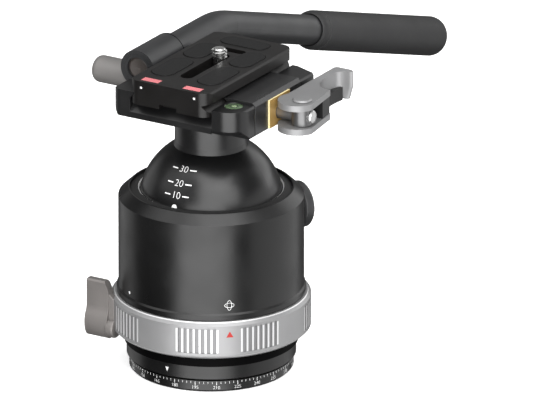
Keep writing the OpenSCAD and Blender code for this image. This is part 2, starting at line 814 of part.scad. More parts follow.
module grip_pads() {
    color([0.09, 0.09, 0.09])
        translate([0, 0, plate_top - 1.2]) linear_extrude(1.2 + pad_proud) pads_plan(0.15);
}

module stop_tabs() {
    color([0.85, 0.2, 0.2]) translate([0, 0, plate_top - 1.2]) linear_extrude(1.2) tabs_plan();
}

module screw_washer() {
    color([0.6, 0.6, 0.62])
        translate([0, screw_y, 0]) bush(screw_head_r, shank_r + run, washer_z, washer_z + 0.4);
}

module camera_screw() {
    head_z = washer_z - gap - head_h;
    color([0.75, 0.75, 0.75])
        translate([0, screw_y, 0])
            difference() {
                union() {
                    bush(screw_head_r - 0.1, 0, head_z, head_z + head_h);
                    bush(shank_r, 0, head_z + head_h, thread_z);
                    bush(screw_r, 0, thread_z, plate_top + screw_out - 0.6);
                    translate([0, 0, plate_top + screw_out - 0.6])
                        cylinder(r1 = screw_r, r2 = screw_r - 0.6, h = 0.6);
                }
                translate([-screw_head_r - 1, -0.9, head_z - 1]) cube([2 * screw_head_r + 2, 1.8, 2.6]);
            }
}

module bar_clamp() {
    slit = 1.2;
    boss_r = knob_screw_r + 4.8;
    color([0.05, 0.05, 0.05])
        difference() {
            union() {
                translate([-bar_x, bar_front, bar_z]) rotate([-90, 0, 0]) cylinder(r = socket_r, h = socket_l);
                rod_x(boss_r, -lug_out, -lug_in, knob_y, knob_z);
                translate([-lug_out, knob_y - boss_r, knob_z]) cube([lug_out - lug_in, 2 * boss_r, bar_z - knob_z]);
            }
            translate([-bar_x, bar_front - 1, bar_z]) rotate([-90, 0, 0]) cylinder(r = bar_r + run, h = socket_l + 2);
            rod_x(knob_screw_r + run, -lug_out - 1, 1 - lug_in, knob_y, knob_z);
            translate([-bar_x - slit / 2, bar_front - 1, knob_z - boss_r - 1])
                cube([slit, socket_l + 2, boss_r + 1 + bar_z - knob_z]);
        }
}

module bar_knob() {
    nose = 3;
    color([0.42, 0.41, 0.4])
        translate([-lug_out - gap, knob_y, knob_z])
            rotate([0, -90, 0])
                rotate_extrude() {
                    translate([knob_screw_r, 0]) square([knob_r - knob_screw_r, knob_l - nose]);
                    translate([0, knob_l - nose - 6]) square([knob_r - nose, nose + 6]);
                    intersection() {
                        translate([knob_r - nose, knob_l - nose]) circle(nose);
                        square([knob_r, knob_l]);
                    }
                }
}

module bar_screw() {
    nose = 3;
    color([0.65, 0.65, 0.65])
        rod_x(knob_screw_r, -lug_out - gap - knob_l + nose + 6, 8 - clamp_left, knob_y, knob_z);
}

// The handle's centre line swept by a round section: straight, bend, straight.
// The bend is a hair thinner and laps into both legs, so that the three run into one piece.
module handle_sweep(r, front, tail) {
    tangent = bend_r * tan(bend_angle / 2);
    translate([-bar_x, front, bar_z]) rotate([-90, 0, 0]) cylinder(r = r, h = bend_y - tangent - front);
    translate([-bar_x, bend_y - tangent, bar_z - bend_r])
        rotate([bend_lap, 0, 0])
            rotate([0, -90, 0])
                rotate_extrude(angle = bend_angle + 2 * bend_lap) translate([bend_r, 0]) circle(r - bend_step);
    on_handle_tail() translate([0, 0, tangent]) cylinder(r = r, h = tail - tangent);
}

module handle_tube() {
    color([0.07, 0.07, 0.07])
        difference() {
            handle_sweep(bar_r, bar_front, bar_tail - end_wall);
            handle_sweep(bar_r - bar_wall, bar_front - 1, bar_tail);
        }
}

module end_plug() {
    color([0.15, 0.14, 0.13])
        translate([-bar_x, bar_front + 0.8, bar_z])
            rotate([-90, 0, 0])
                rotate_extrude()
                    polygon([[0, 0.5], [bar_r - bar_wall - 1, 0], [bar_r - bar_wall, 0.6], [bar_r - bar_wall, 5], [0, 5]]);
}

module handle_grip() {
    round_r = 2.5;
    color([0.08, 0.08, 0.08])
        on_handle_tail()
            rotate_extrude() {
                polygon([[bar_r, bar_tail - grip_l], [bar_r + 0.6, bar_tail - grip_l],
                         [grip_r, bar_tail - grip_l + grip_nose], [grip_r, bar_tail - round_r],
                         [grip_r - round_r, bar_tail], [0, bar_tail], [0, bar_tail - end_wall],
                         [bar_r, bar_tail - end_wall]]);
                intersection() {
                    translate([grip_r - round_r, bar_tail - round_r]) circle(round_r);
                    translate([0, bar_tail - end_wall]) square([grip_r, end_wall]);
                }
            }
}

module drag_knob() {
    hub_r = drag_screw_r + 2;
    color([0.07, 0.07, 0.07])
        on_drag_axis()
            difference() {
                rotate_extrude()
                    polygon([[drag_screw_r, drag_face], [drag_knob_r - 1, drag_face], [drag_knob_r, drag_face + 1],
                             [drag_knob_r, drag_face + drag_knob_t - 1.2],
                             [drag_knob_r - 1.2, drag_face + drag_knob_t], [0, drag_face + drag_knob_t],
                             [0, drag_face + drag_knob_t - 1.4], [drag_screw_r, drag_face + drag_knob_t - 1.4]]);
                difference() {
                    translate([0, 0, drag_face + drag_knob_t - 0.8]) cylinder(r = drag_knob_r - 2.4, h = 2);
                    cylinder(r = hub_r, h = 2 * body_r);
                }
            }
}

module drag_screw() {
    color([0.6, 0.6, 0.6])
        on_drag_axis() bush(drag_screw_r, 0, bore_r - 0.6, drag_face + drag_knob_t - 1.4);
}

module drag_tip() {
    color([0.85, 0.85, 0.8]) on_drag_axis() bush(drag_screw_r - 0.2, 0, tip_in, bore_r - 0.6);
}

pan_base();
thread_bush();
pan_spindle();
base_screws();
turning_cap();
bearing_washer();
housing();
disc_spring();
pressure_ring();
seat_ring();
lock_ring();
lock_lever();
drag_cup();
guide_pin();
ball();
neck();
neck_bolt();
clamp_base();
bubble_level();
guide_rods();
draw_bar();
cam_pin();
moving_jaw();
thrust_plate();
cam_lever();
lever_pad();
quick_plate();
grip_pads();
stop_tabs();
screw_washer();
camera_screw();
bar_clamp();
bar_knob();
bar_screw();
handle_tube();
end_plug();
handle_grip();
drag_knob();
drag_screw();
drag_tip();
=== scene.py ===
"""Looks of a hybrid ball and fluid head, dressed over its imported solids."""

from __future__ import annotations

import logging
import math
from dataclasses import dataclass, field
from enum import Enum
from typing import Iterable, Optional, Sequence

import bmesh
import bpy
from bmesh.types import BMesh
from mathutils import Matrix, Vector
from mathutils.geometry import interpolate_bezier


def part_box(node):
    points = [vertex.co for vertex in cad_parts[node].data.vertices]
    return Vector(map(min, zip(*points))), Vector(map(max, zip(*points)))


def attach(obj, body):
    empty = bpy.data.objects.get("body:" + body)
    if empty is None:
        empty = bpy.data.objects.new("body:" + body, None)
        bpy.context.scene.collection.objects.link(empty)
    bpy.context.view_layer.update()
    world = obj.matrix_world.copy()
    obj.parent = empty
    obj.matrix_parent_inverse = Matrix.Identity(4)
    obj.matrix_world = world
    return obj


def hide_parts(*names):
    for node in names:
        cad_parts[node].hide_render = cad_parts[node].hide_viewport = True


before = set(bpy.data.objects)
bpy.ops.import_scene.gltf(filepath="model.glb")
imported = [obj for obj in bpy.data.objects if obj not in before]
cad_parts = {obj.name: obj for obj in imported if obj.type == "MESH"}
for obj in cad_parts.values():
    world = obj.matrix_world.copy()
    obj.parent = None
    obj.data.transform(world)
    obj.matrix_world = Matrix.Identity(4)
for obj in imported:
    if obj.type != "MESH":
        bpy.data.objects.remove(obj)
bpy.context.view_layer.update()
LOG = logging.getLogger("ball_head")
MM = 0.001
NEAR = 1e-7
"""Points of a shape that lie closer than this are one."""
INK = 0.03 * MM
# How far printed marks, and the painted highlight strips on the thrust plate's edges, stand proud of the face
# under them.
"""How far printed marks stand proud of the face under them."""
Point = tuple[float, float]
"""A place in a drawing, in millimetres."""
COAT_ROUGHNESS = 0.12
TONE_LOW = 0.86
TONE_HIGH = 1.14
BUMP_STRENGTH = 0.35
DIGIT_SHARE = 0.72
"""Height of a digit as a share of the size of its font."""
DIGIT_THINNING = 0.025
"""How much thinner a digit is drawn, as a share of its height."""


class Body(Enum):
    """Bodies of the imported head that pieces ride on."""

    BASE = "base"
    HOUSING = "housing"
    LOCK = "lock"
    HEAD = "head"
    JAW = "jaw"
    LEVER = "lever"
    PLATE = "plate"
    SCREW = "screw"
    BAR_CLAMP = "bar_clamp"
    HANDLE = "handle"
    DRAG = "drag"


class Relief(Enum):
    """Fine relief that a finish carries."""

    GRAINED = "grained"
    TURNED = "turned"
    SMOOTH = "smooth"


class NodeGroups:
    """Shader effects that several finishes share, each built once."""

    @staticmethod
    def _new(name: str, inputs: Iterable[tuple], outputs: Iterable[tuple]) -> bpy.types.NodeTree:
        """Starts a group with named sockets.

        Args:
            name: Name of the group.
            inputs: Pairs of a socket's name and its default number.
            outputs: Names and types of the outputs.

        Returns:
            The empty group, with its input and output nodes.
        """
        tree = bpy.data.node_groups.new(name, "ShaderNodeTree")
        for label, value in inputs:
            socket = tree.interface.new_socket(name=label, in_out="INPUT", socket_type="NodeSocketFloat")
            socket.default_value = value
        for label, kind in outputs:
            tree.interface.new_socket(name=label, in_out="OUTPUT", socket_type=kind)
        tree.nodes.new("NodeGroupInput")
        tree.nodes.new("NodeGroupOutput")
        return tree

    @classmethod
    def grain(cls) -> bpy.types.NodeTree:
        """Blasted or moulded grain: a height, and a slow tone that varies over the piece."""
        found = bpy.data.node_groups.get("surface_grain")
        if found:
            return found
        tree = cls._new(
            "surface_grain",
            [("Grain Scale", 4000.0), ("Tone Scale", 60.0)],
            [("Height", "NodeSocketFloat"), ("Tone", "NodeSocketFloat")],
        )
        nodes, links = tree.nodes, tree.links
        start, end = nodes["Group Input"], nodes["Group Output"]
        place = nodes.new("ShaderNodeTexCoord")
        fine = nodes.new("ShaderNodeTexNoise")
        fine.inputs["Detail"].default_value = 3.0
        fine.inputs["Roughness"].default_value = 0.6
        slow = nodes.new("ShaderNodeTexNoise")
        slow.inputs["Detail"].default_value = 4.0
        for noise, label in ((fine, "Grain Scale"), (slow, "Tone Scale")):
            links.new(place.outputs["Object"], noise.inputs["Vector"])
            links.new(start.outputs[label], noise.inputs["Scale"])
        links.new(fine.outputs["Fac"], end.inputs["Height"])
        links.new(slow.outputs["Fac"], end.inputs["Tone"])
        return tree

    @classmethod
    def lathe(cls) -> bpy.types.NodeTree:
        """Fine lathe lines round the upright axis, broken up by a slow noise."""
        found = bpy.data.node_groups.get("lathe_lines")
        if found:
            return found
        tree = cls._new("lathe_lines", [("Lines per Metre", 9000.0)], [("Height", "NodeSocketFloat")])
        nodes, links = tree.nodes, tree.links
        start, end = nodes["Group Input"], nodes["Group Output"]
        place = nodes.new("ShaderNodeTexCoord")
        split = nodes.new("ShaderNodeSeparateXYZ")
        flat = nodes.new("ShaderNodeVectorMath")
        flat.operation = "MULTIPLY"
        flat.inputs[1].default_value = (1.0, 1.0, 0.0)
        radius = nodes.new("ShaderNodeVectorMath")
        radius.operation = "LENGTH"
        reach = nodes.new("ShaderNodeMath")
        reach.operation = "ADD"
        turns = nodes.new("ShaderNodeMath")
        turns.operation = "MULTIPLY"
        line = nodes.new("ShaderNodeTexNoise")
        line.noise_dimensions = "1D"
        line.inputs["Scale"].default_value = 1.0
        line.inputs["Detail"].default_value = 2.0
        links.new(place.outputs["Object"], split.inputs[0])
        links.new(place.outputs["Object"], flat.inputs[0])
        links.new(flat.outputs[0], radius.inputs[0])
        links.new(split.outputs["Z"], reach.inputs[0])
        links.new(radius.outputs["Value"], reach.inputs[1])
        links.new(reach.outputs[0], turns.inputs[0])
        links.new(start.outputs["Lines per Metre"], turns.inputs[1])
        links.new(turns.outputs[0], line.inputs["W"])
        links.new(line.outputs["Fac"], end.inputs["Height"])
        return tree


@dataclass(frozen=True)
class Finish:
    """A surface finish, made into a material once."""

    name: str
    slot: str
    colour: tuple[float, float, float]
    roughness: float
    metallic: float = 0.0
    relief: Relief = Relief.GRAINED
    grain: float = 3500.0
    depth: float = 0.02
    spread: float = 0.08
    coat: float = 0.0
    specular: float = 0.5

    def material(self) -> bpy.types.Material:
        """Builds the finish's material, or returns it if it is there already."""
        found = bpy.data.materials.get(self.name)
        if found:
            return found
        made = bpy.data.materials.new(self.name)
        made.use_nodes = True
        nodes, links = made.node_tree.nodes, made.node_tree.links
        shader = nodes["Principled BSDF"]
        shader.inputs["Metallic"].default_value = self.metallic
        shader.inputs["Coat Weight"].default_value = self.coat
        shader.inputs["Coat Roughness"].default_value = COAT_ROUGHNESS
        shader.inputs["Specular IOR Level"].default_value = self.specular
        grain = nodes.new("ShaderNodeGroup")
        grain.node_tree = NodeGroups.grain()
        grain.inputs["Grain Scale"].default_value = self.grain
        tone = nodes.new("ShaderNodeMix")
        tone.data_type = "RGBA"
        low = tuple(TONE_LOW * c for c in self.colour)
        high = tuple(min(1.0, TONE_HIGH * c) for c in self.colour)
        tone.inputs["A"].default_value = (*low, 1.0)
        tone.inputs["B"].default_value = (*high, 1.0)
        links.new(grain.outputs["Tone"], tone.inputs["Factor"])
        links.new(tone.outputs["Result"], shader.inputs["Base Color"])
        rough = nodes.new("ShaderNodeMapRange")
        rough.inputs["From Min"].default_value = 0.25
        rough.inputs["From Max"].default_value = 0.75
        rough.inputs["To Min"].default_value = max(0.02, self.roughness - self.spread)
        rough.inputs["To Max"].default_value = min(1.0, self.roughness + self.spread)
        links.new(grain.outputs["Tone"], rough.inputs["Value"])
        links.new(rough.outputs["Result"], shader.inputs["Roughness"])
        if self.relief is not Relief.SMOOTH:
            self._add_relief(nodes, links, grain, shader)
        return made

    def _add_relief(
        self,
        nodes: bpy.types.Nodes,
        links: bpy.types.NodeLinks,
        grain: bpy.types.ShaderNode,
        shader: bpy.types.ShaderNode,
    ) -> None:
        """Gives the material its bump.

        Args:
            nodes: The material's nodes.
            links: The material's links.
            grain: The grain group's node.
            shader: The Principled shader.
        """
        bump = nodes.new("ShaderNodeBump")
        bump.inputs["Strength"].default_value = BUMP_STRENGTH
        bump.inputs["Distance"].default_value = self.depth * MM
        height = grain.outputs["Height"]
        if self.relief is Relief.TURNED:
            lathe = nodes.new("ShaderNodeGroup")
            lathe.node_tree = NodeGroups.lathe()
            height = lathe.outputs["Height"]
        links.new(height, bump.inputs["Height"])
        links.new(bump.outputs["Normal"], shader.inputs["Normal"])


class Finishes:
    """Every finish on the head."""

    BODY_BLACK = Finish("satin_black", "black_anodised", (0.002, 0.002, 0.0021), 0.34)
    CLAMP_BLACK = Finish("clamp_black", "black_anodised", (0.006, 0.006, 0.0063), 0.33)
    JAW_BLACK = Finish("jaw_black", "black_anodised", (0.013, 0.013, 0.0134), 0.33, specular=0.6)
    KNOB_BLACK = Finish("knob_black", "black_anodised", (0.03, 0.03, 0.031), 0.42)
    PLATE_BLACK = Finish("plate_black", "black_anodised", (0.0055, 0.005, 0.0048), 0.36, specular=0.3)
    TUBE_BLACK = Finish("handle_black", "black_anodised", (0.02, 0.0205, 0.0215), 0.42)
    BALL_BLACK = Finish("ball_black", "black_ball", (0.004, 0.004, 0.0042), 0.30, spread=0.04)
    # Painted shade: near-black with almost no reflection, for the housing's sleeve in the lock ring's shadow
    # and for a shadow line on the handle's collar.
    SHADE_BLACK = Finish("sleeve_black", "black_anodised", (0.002, 0.002, 0.0021), 0.4, specular=0.02)
    RING_SILVER = Finish(
        "ring_silver",
        "grey_anodised",
        (0.255, 0.255, 0.258),
        0.36,
        0.35,
        Relief.TURNED,
        depth=0.01,
        spread=0.05,
    )
    # Painted highlight: a bright silver for strips and lines on the lock ring, standing in for light glinting
    # on its rib crests and bevels.
    RIDGE_HIGHLIGHT = Finish("ridge_painted_highlight", "grey_anodised", (0.62, 0.62, 0.625), 0.32, 0.35, Relief.SMOOTH)
    # Painted shade: a darker grey for the ring's groove faces, standing in for the shade inside the grooves.
    GROOVE_SHADE = Finish("groove_painted_shade", "grey_anodised", (0.2, 0.2, 0.204), 0.45, 0.3, Relief.SMOOTH)
    LEVER_GREY = Finish("titanium_grey", "lever_grey", (0.178, 0.166, 0.159), 0.42, 0.4)
    KNOB_GREY = Finish("knob_grey", "lever_grey", (0.165, 0.159, 0.154), 0.46, 0.3)
    CAM_SILVER = Finish("lever_silver", "cam_silver", (0.245, 0.245, 0.248), 0.44, 0.45, grain=5000.0)
    STEEL = Finish("turned_steel", "steel", (0.62, 0.62, 0.61), 0.24, 1.0, Relief.TURNED, depth=0.006)
    BARREL = Finish("barrel_steel", "steel", (0.15, 0.15, 0.152), 0.34, 0.8, Relief.SMOOTH)
    POLISHED = Finish("polished_steel", "steel", (0.5, 0.5, 0.5), 0.26, 0.9, Relief.SMOOTH)
    # Painted highlight: a pale bright brass for strips on the thrust plate's edges, standing in for light on
    # its edge bevels.
    BRASS_HIGHLIGHT = Finish("brass_painted_highlight", "brass", (1.0, 0.80, 0.44), 0.4, 0.2, Relief.SMOOTH)
    # Brass colour darkened with painted shade, for the thrust plate's face beside its bright edge strips; the
    # hidden pressure ring and drag cup share it.
    BRASS = Finish("brass_painted_shade", "brass", (0.52, 0.33, 0.11), 0.34, 0.5, depth=0.008)
    # Painted highlight: white for the seat lip's inner bevel, standing in for the glint on that chamfer.
    GLINT_WHITE = Finish("white_nylon", "polymer", (0.85, 0.85, 0.84), 0.4, relief=Relief.SMOOTH)
    POLYMER = Finish("black_polymer", "polymer", (0.012, 0.012, 0.012), 0.45)
    PLUG = Finish("end_plug_brown", "polymer", (0.05, 0.042, 0.038), 0.5)
    RUBBER = Finish(
        "grip_rubber", "rubber", (0.02, 0.02, 0.0205), 0.62, grain=2200.0, depth=0.06, specular=0.38
    )
    PAD = Finish(
        "pad_rubber", "rubber", (0.008, 0.008, 0.0081), 0.55, grain=3000.0, depth=0.05, specular=0.25
    )
    RED_TAB = Finish("tab_red", "red_tab", (0.6, 0.168, 0.184), 0.6, depth=0.01)
    PRINT = Finish("white_print", "black_anodised", (0.80, 0.80, 0.80), 0.55, relief=Relief.SMOOTH)
    RED_PRINT = Finish("red_print", "red_tab", (0.34, 0.014, 0.01), 0.5, relief=Relief.SMOOTH)
    LIQUID = Finish(
        "level_green", "level", (0.085, 0.135, 0.07), 0.10, relief=Relief.SMOOTH, coat=1.0, spread=0.03
    )
    BUBBLE = Finish(
        "level_bubble", "level", (0.25, 0.34, 0.19), 0.12, relief=Relief.SMOOTH, coat=1.0, spread=0.03
    )


@dataclass
class Workshop:
    """Turns finished shapes into pieces that ride on the head's bodies."""

    made: list[bpy.types.Object] = field(default_factory=list)

    def piece(
        self,
        name: str,
        shape: BMesh,
        finish: Finish,
        body: Body,
        replaces: Optional[str] = None,
        smooth_deg: float = 32.0,
        weighted: bool = False,
    ) -> bpy.types.Object:
        """Makes a piece from a shape and frees the shape.

        Args:
            name: Name of the piece.
            shape: The finished shape, in metres, at its place.
            finish: Finish of the piece.
            body: Body that the piece rides on.
            replaces: CAD node that it stands for, if any.
            smooth_deg: Edges sharper than this stay sharp.
            weighted: Whether wide faces set the normals of the eased edges beside them.

        Returns:
            The new object.
        """
        mesh = bpy.data.meshes.new(name)
        shape.to_mesh(mesh)
        shape.free()
        mesh.polygons.foreach_set("use_smooth", [True] * len(mesh.polygons))
        mesh.set_sharp_from_angle(angle=math.radians(smooth_deg))
        mesh.materials.append(finish.material())
        made = bpy.data.objects.new(name, mesh)
        bpy.context.scene.collection.objects.link(made)
        if weighted:
            made.modifiers.new("even_normals", "WEIGHTED_NORMAL").keep_sharp = True
        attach(made, body.value)
        if replaces:
            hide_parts(replaces)
        self.made.append(made)
        LOG.info("made %s: %d faces, rides on %s", name, len(mesh.polygons), body.value)
        return made

    @staticmethod
    def dress(node: str, finish: Finish) -> None:
        """Gives a CAD node its finish.

        Args:
            node: Name of the node.
            finish: Finish that it gets.
        """
        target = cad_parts[node]
        target.data.materials.clear()
        target.data.materials.append(finish.material())


class Shape:
    """Small shapes made with bmesh operators, in metres."""

    @staticmethod
    def outward(shape: BMesh) -> BMesh:
        """Merges doubles and turns every face outwards."""
        bmesh.ops.remove_doubles(shape, verts=shape.verts, dist=NEAR)
        bmesh.ops.recalc_face_normals(shape, faces=shape.faces)
        return shape

    @staticmethod
    def disc(radius: float, segments: int, thick: float = INK, turn: float = 0.0) -> BMesh:
        """A flat regular polygon with a little thickness, drawn in X and Y.

        Args:
            radius: Radius of its corners.
            segments: Number of corners.
            thick: Thickness along Z.
            turn: Turn about Z, in degrees.

        Returns:
            The closed shape, with its lower face at z = 0.
        """
        shape = bmesh.new()
        turned = Matrix.Rotation(math.radians(turn), 4, "Z")
        bmesh.ops.create_circle(shape, cap_ends=True, radius=radius, segments=segments, matrix=turned)
        return Shape.thicken(shape, thick)

    @staticmethod
    def bar(width: float, height: float, thick: float = INK) -> BMesh:
        """A flat rectangle with a little thickness, drawn in X and Y."""
        shape = bmesh.new()
        bmesh.ops.create_grid(shape, x_segments=1, y_segments=1, size=0.5)
        bmesh.ops.scale(shape, vec=(width, height, 1.0), verts=shape.verts)
        return Shape.thicken(shape, thick)

    @staticmethod
    def thicken(shape: BMesh, thick: float) -> BMesh:
        """Extrudes a flat shape along Z and closes it."""
        out = bmesh.ops.extrude_face_region(shape, geom=shape.faces[:], use_keep_orig=True)
        top = [v for v in out["geom"] if isinstance(v, bmesh.types.BMVert)]
        bmesh.ops.translate(shape, vec=(0.0, 0.0, thick), verts=top)
        return Shape.outward(shape)

    @staticmethod
    def words(text: str, height: float, thick: float = INK) -> BMesh:
        """Generic dial lettering as a closed mesh, centred in X and Y.

        Args:
            text: The digits.
            height: Height of a digit.
            thick: Thickness along Z.

        Returns:
            The closed shape.
        """
        curve = bpy.data.curves.new("digits", "FONT")
        curve.body = text
        curve.size = height / DIGIT_SHARE
        curve.extrude = thick / 2
        curve.offset = -DIGIT_THINNING * height
        curve.resolution_u = 4
        curve.align_x = "CENTER"
        curve.align_y = "CENTER"
        holder = bpy.data.objects.new("digits", curve)
        bpy.context.scene.collection.objects.link(holder)
        seen = holder.evaluated_get(bpy.context.evaluated_depsgraph_get())
        mesh = bpy.data.meshes.new_from_object(seen)
        shape = bmesh.new()
        shape.from_mesh(mesh)
        bpy.data.objects.remove(holder)
        bpy.data.curves.remove(curve)
        bpy.data.meshes.remove(mesh)
        return Shape.outward(shape)

    @staticmethod
    def lathe(section: Iterable[tuple[float, float]], steps: int = 96, closed: bool = True) -> BMesh:
        """Spins a section about the upright axis.

        Args:
            section: Radius and height of each corner, in millimetres.
            steps: Steps of the full turn.
            closed: Whether the section closes on itself.

        Returns:
            The spun shape.
        """
        shape = bmesh.new()
        ring = [shape.verts.new((r * MM, 0.0, z * MM)) for r, z in section]
        edges = [shape.edges.new(pair) for pair in zip(ring, ring[1:])]
        if closed:
            edges.append(shape.edges.new((ring[-1], ring[0])))
        bmesh.ops.spin(
            shape,
            geom=ring + edges,
            cent=(0.0, 0.0, 0.0),
            axis=(0.0, 0.0, 1.0),
            angle=math.tau,
            steps=steps,
            use_merge=True,
        )
        return Shape.outward(shape)

    @staticmethod
    def curve(start: Point, leave: Point, arrive: Point, end: Point, steps: int = 12) -> list[Point]:
        """Points along a smooth curve.

        Args:
            start: Where the curve starts, in millimetres.
            leave: Point that it heads for at first.
            arrive: Point that it comes from at last.
            end: Where it ends.
            steps: Number of points.

        Returns:
            The points, the two ends among them.
        """
        knots = (Vector((*p, 0.0)) for p in (start, leave, arrive, end))
        return [(p.x, p.y) for p in interpolate_bezier(*knots, steps)]

    @staticmethod
    def arc(centre: Point, radius: float, first: float, last: float, steps: int = 24) -> list[Point]:
        """Points along an arc, from its first to its last angle in degrees."""
        turns = [math.radians(first + (last - first) * i / (steps - 1)) for i in range(steps)]
        return [(centre[0] + radius * math.cos(t), centre[1] + radius * math.sin(t)) for t in turns]

    @staticmethod
    def plate(loops: Sequence[Sequence[Point]], low: float, high: float) -> BMesh:
        """A flat plate of any outline, with or without a hole.

        Args:
            loops: The outline and then any hole, each as points in millimetres.
            low: Height of its lower face, in millimetres.
            high: Height of its upper face, in millimetres.

        Returns:
            The closed shape.
        """
        shape = bmesh.new()
        for loop in loops:
            ring = [shape.verts.new((x * MM, y * MM, low * MM)) for x, y in loop]
            for pair in zip(ring, ring[1:] + ring[:1]):
                shape.edges.new(pair)
        bmesh.ops.triangle_fill(shape, use_beauty=True, edges=shape.edges[:])
        return Shape.thicken(shape, (high - low) * MM)

    @staticmethod
    def cut(shape: BMesh, place: float) -> None:
        """Cuts a shape across Y, so that its far part can be drawn out or bent."""
        geom = [*shape.verts, *shape.edges, *shape.faces]
        bmesh.ops.bisect_plane(
            shape, geom=geom, dist=NEAR, plane_co=(0.0, place * MM, 0.0), plane_no=(0.0, 1.0, 0.0)
        )

    @staticmethod
    def draw_down(shape: BMesh, start: float, depth: float, lean: float = 0.0) -> None:
        """Draws the lowest faces beyond a place along Y further down.

        Args:
            shape: The shape, cut across at that place.
            start: Where the deeper part starts, in millimetres.
            depth: How much deeper it gets, in millimetres.
            lean: How far its foot moves along X, in millimetres.
        """
        low = [f for f in shape.faces if f.normal.z < -0.9 and f.calc_center_median().y > start * MM]
        out = bmesh.ops.extrude_face_region(shape, geom=low)
        moved = [v for v in out["geom"] if isinstance(v, bmesh.types.BMVert)]
        bmesh.ops.translate(shape, vec=(lean * MM, 0.0, -depth * MM), verts=moved)
        shape.normal_update()

    @staticmethod
    def ease(shape: BMesh, width: float, segments: int = 2, sharp_deg: float = 32.0) -> BMesh:
        """Bevels every sharp edge.

        Args:
            shape: The shape.
            width: Width of the bevel, in millimetres.
            segments: Steps of the bevel.
            sharp_deg: Edges sharper than this are bevelled.

        Returns:
            The same shape.
        """
        limit = math.radians(sharp_deg)
        sharp = [e for e in shape.edges if len(e.link_faces) == 2 and e.calc_face_angle(0.0) > limit]
        bmesh.ops.bevel(
            shape,
            geom=sharp,
            offset=width * MM,
            offset_type="OFFSET",
            affect="EDGES",
            segments=segments,
            profile=0.5,
            clamp_overlap=True,
            material=-1,
        )
        return shape

    @staticmethod
    def join(target: BMesh, extra: BMesh) -> None:
        """Adds one shape to another and frees the added one."""
        mesh = bpy.data.meshes.new("joining")
        extra.to_mesh(mesh)
        extra.free()
        target.from_mesh(mesh)
        bpy.data.meshes.remove(mesh)

    @staticmethod
    def move(shape: BMesh, matrix: Matrix) -> BMesh:
        """Moves a whole shape."""
        bmesh.ops.transform(shape, matrix=matrix, verts=shape.verts)
        return shape


class Wrap:
    """Lays flat marks on the head's round faces."""

    STRIP = 0.5 * MM
    """Widest strip that a mark is cut into before it is bent."""

    @classmethod
    def _slice(cls, shape: BMesh, axis: int) -> None:
        """Cuts a flat mark into strips, so that it bends with the face under it.

        Args:
            shape: The mark.
            axis: 0 to cut across X, 1 to cut across Y.
        """
        places = [v.co[axis] for v in shape.verts]
        low, high = min(places), max(places)
        cuts = int((high - low) / cls.STRIP)
        normal = Vector((1.0, 0.0, 0.0)) if axis == 0 else Vector((0.0, 1.0, 0.0))
        for step in range(1, cuts + 1):
            place = normal * (low + step * (high - low) / (cuts + 1))
            geom = [*shape.verts, *shape.edges, *shape.faces]
            bmesh.ops.bisect_plane(shape, geom=geom, dist=1e-8, plane_co=place, plane_no=normal)

    @staticmethod
    def drum(shape: BMesh, radius: float, angle: float, z: float) -> BMesh:
        """Bends a mark drawn in X and Y onto an upright cylinder.

        Args:
            shape: The mark; its X runs to the right as seen from outside.
            radius: Radius of the cylinder.
            angle: World angle of the mark's middle, in degrees.
            z: Height of the mark's middle.

        Returns:
            The same shape.
        """
        Wrap._slice(shape, 0)
        for v in shape.verts:
            turn = math.radians(angle) + v.co.x / radius
            reach = radius + v.co.z
            v.co = (reach * math.cos(turn), reach * math.sin(turn), z + v.co.y)
        return shape

    @staticmethod
    def globe(shape: BMesh, radius: float, centre_z: float, polar: float) -> BMesh:
        """Bends a mark onto the ball's front meridian.

        Args:
            shape: The mark; its X runs to the right and its Y up the ball.
            radius: Radius of the ball.
            centre_z: Height of the ball's middle.
            polar: Angle of the mark's middle from straight up, in degrees.

        Returns:
            The same shape.
        """
        Wrap._slice(shape, 0)
        Wrap._slice(shape, 1)
        ring = radius * math.sin(math.radians(polar))
        for v in shape.verts:
            side = v.co.x / ring
            up = math.radians(90.0 - polar) + v.co.y / radius
            reach = radius + v.co.z
            flat = reach * math.cos(up)
            v.co = (flat * math.sin(side), -flat * math.cos(side), centre_z + reach * math.sin(up))
        return shape


@dataclass(frozen=True)
class Band:
    """A zone round the upright axis whose faces get a darker finish as painted shade."""

    finish: Finish
    inner: float
    outer: float
    low: float
    high: float

    def holds(self, reach: float, z: float) -> bool:
        """Says whether a place lies in the band.

        Args:
            reach: Distance from the axis, in millimetres.
            z: Height, in millimetres.

        Returns:
            True inside the band.
        """
        return self.inner < reach < self.outer and self.low < z < self.high


@dataclass
class EasedNode:
    """A CAD node shown with its sharp edges eased."""

    shop: Workshop
    node: str
    body: Body
    finish: Finish
    width: float = 0.3
    # Zone whose faces get a darker finish as painted shade, if any.
    band: Optional[Band] = None
    flat_deg: float = 0.4

    def build(self) -> None:
        """Copies the node's mesh, merges it and bevels its sharp edges."""
        shape = bmesh.new()
        shape.from_mesh(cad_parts[self.node].data)
        bmesh.ops.remove_doubles(shape, verts=shape.verts, dist=1e-6)
        limit = math.radians(self.flat_deg)
        bmesh.ops.dissolve_limit(
            shape, angle_limit=limit, verts=shape.verts[:], edges=shape.edges[:], delimit=set()
        )
        Shape.ease(shape, self.width)
        name = f"eased_{self.node}"
        made = self.shop.piece(name, shape, self.finish, self.body, replaces=self.node, weighted=True)
        if self.band:
            self._paint_band_shade(made.data)

    def _paint_band_shade(self, mesh: bpy.types.Mesh) -> None:
        """Gives the faces inside the band its darker finish, a painted shade.

        Args:
            mesh: Mesh of the finished piece.
        """
        mesh.materials.append(self.band.finish.material())
        for face in mesh.polygons:
            reach = math.hypot(face.center.x, face.center.y) / MM
            if self.band.holds(reach, face.center.z / MM):
                face.material_index = 1


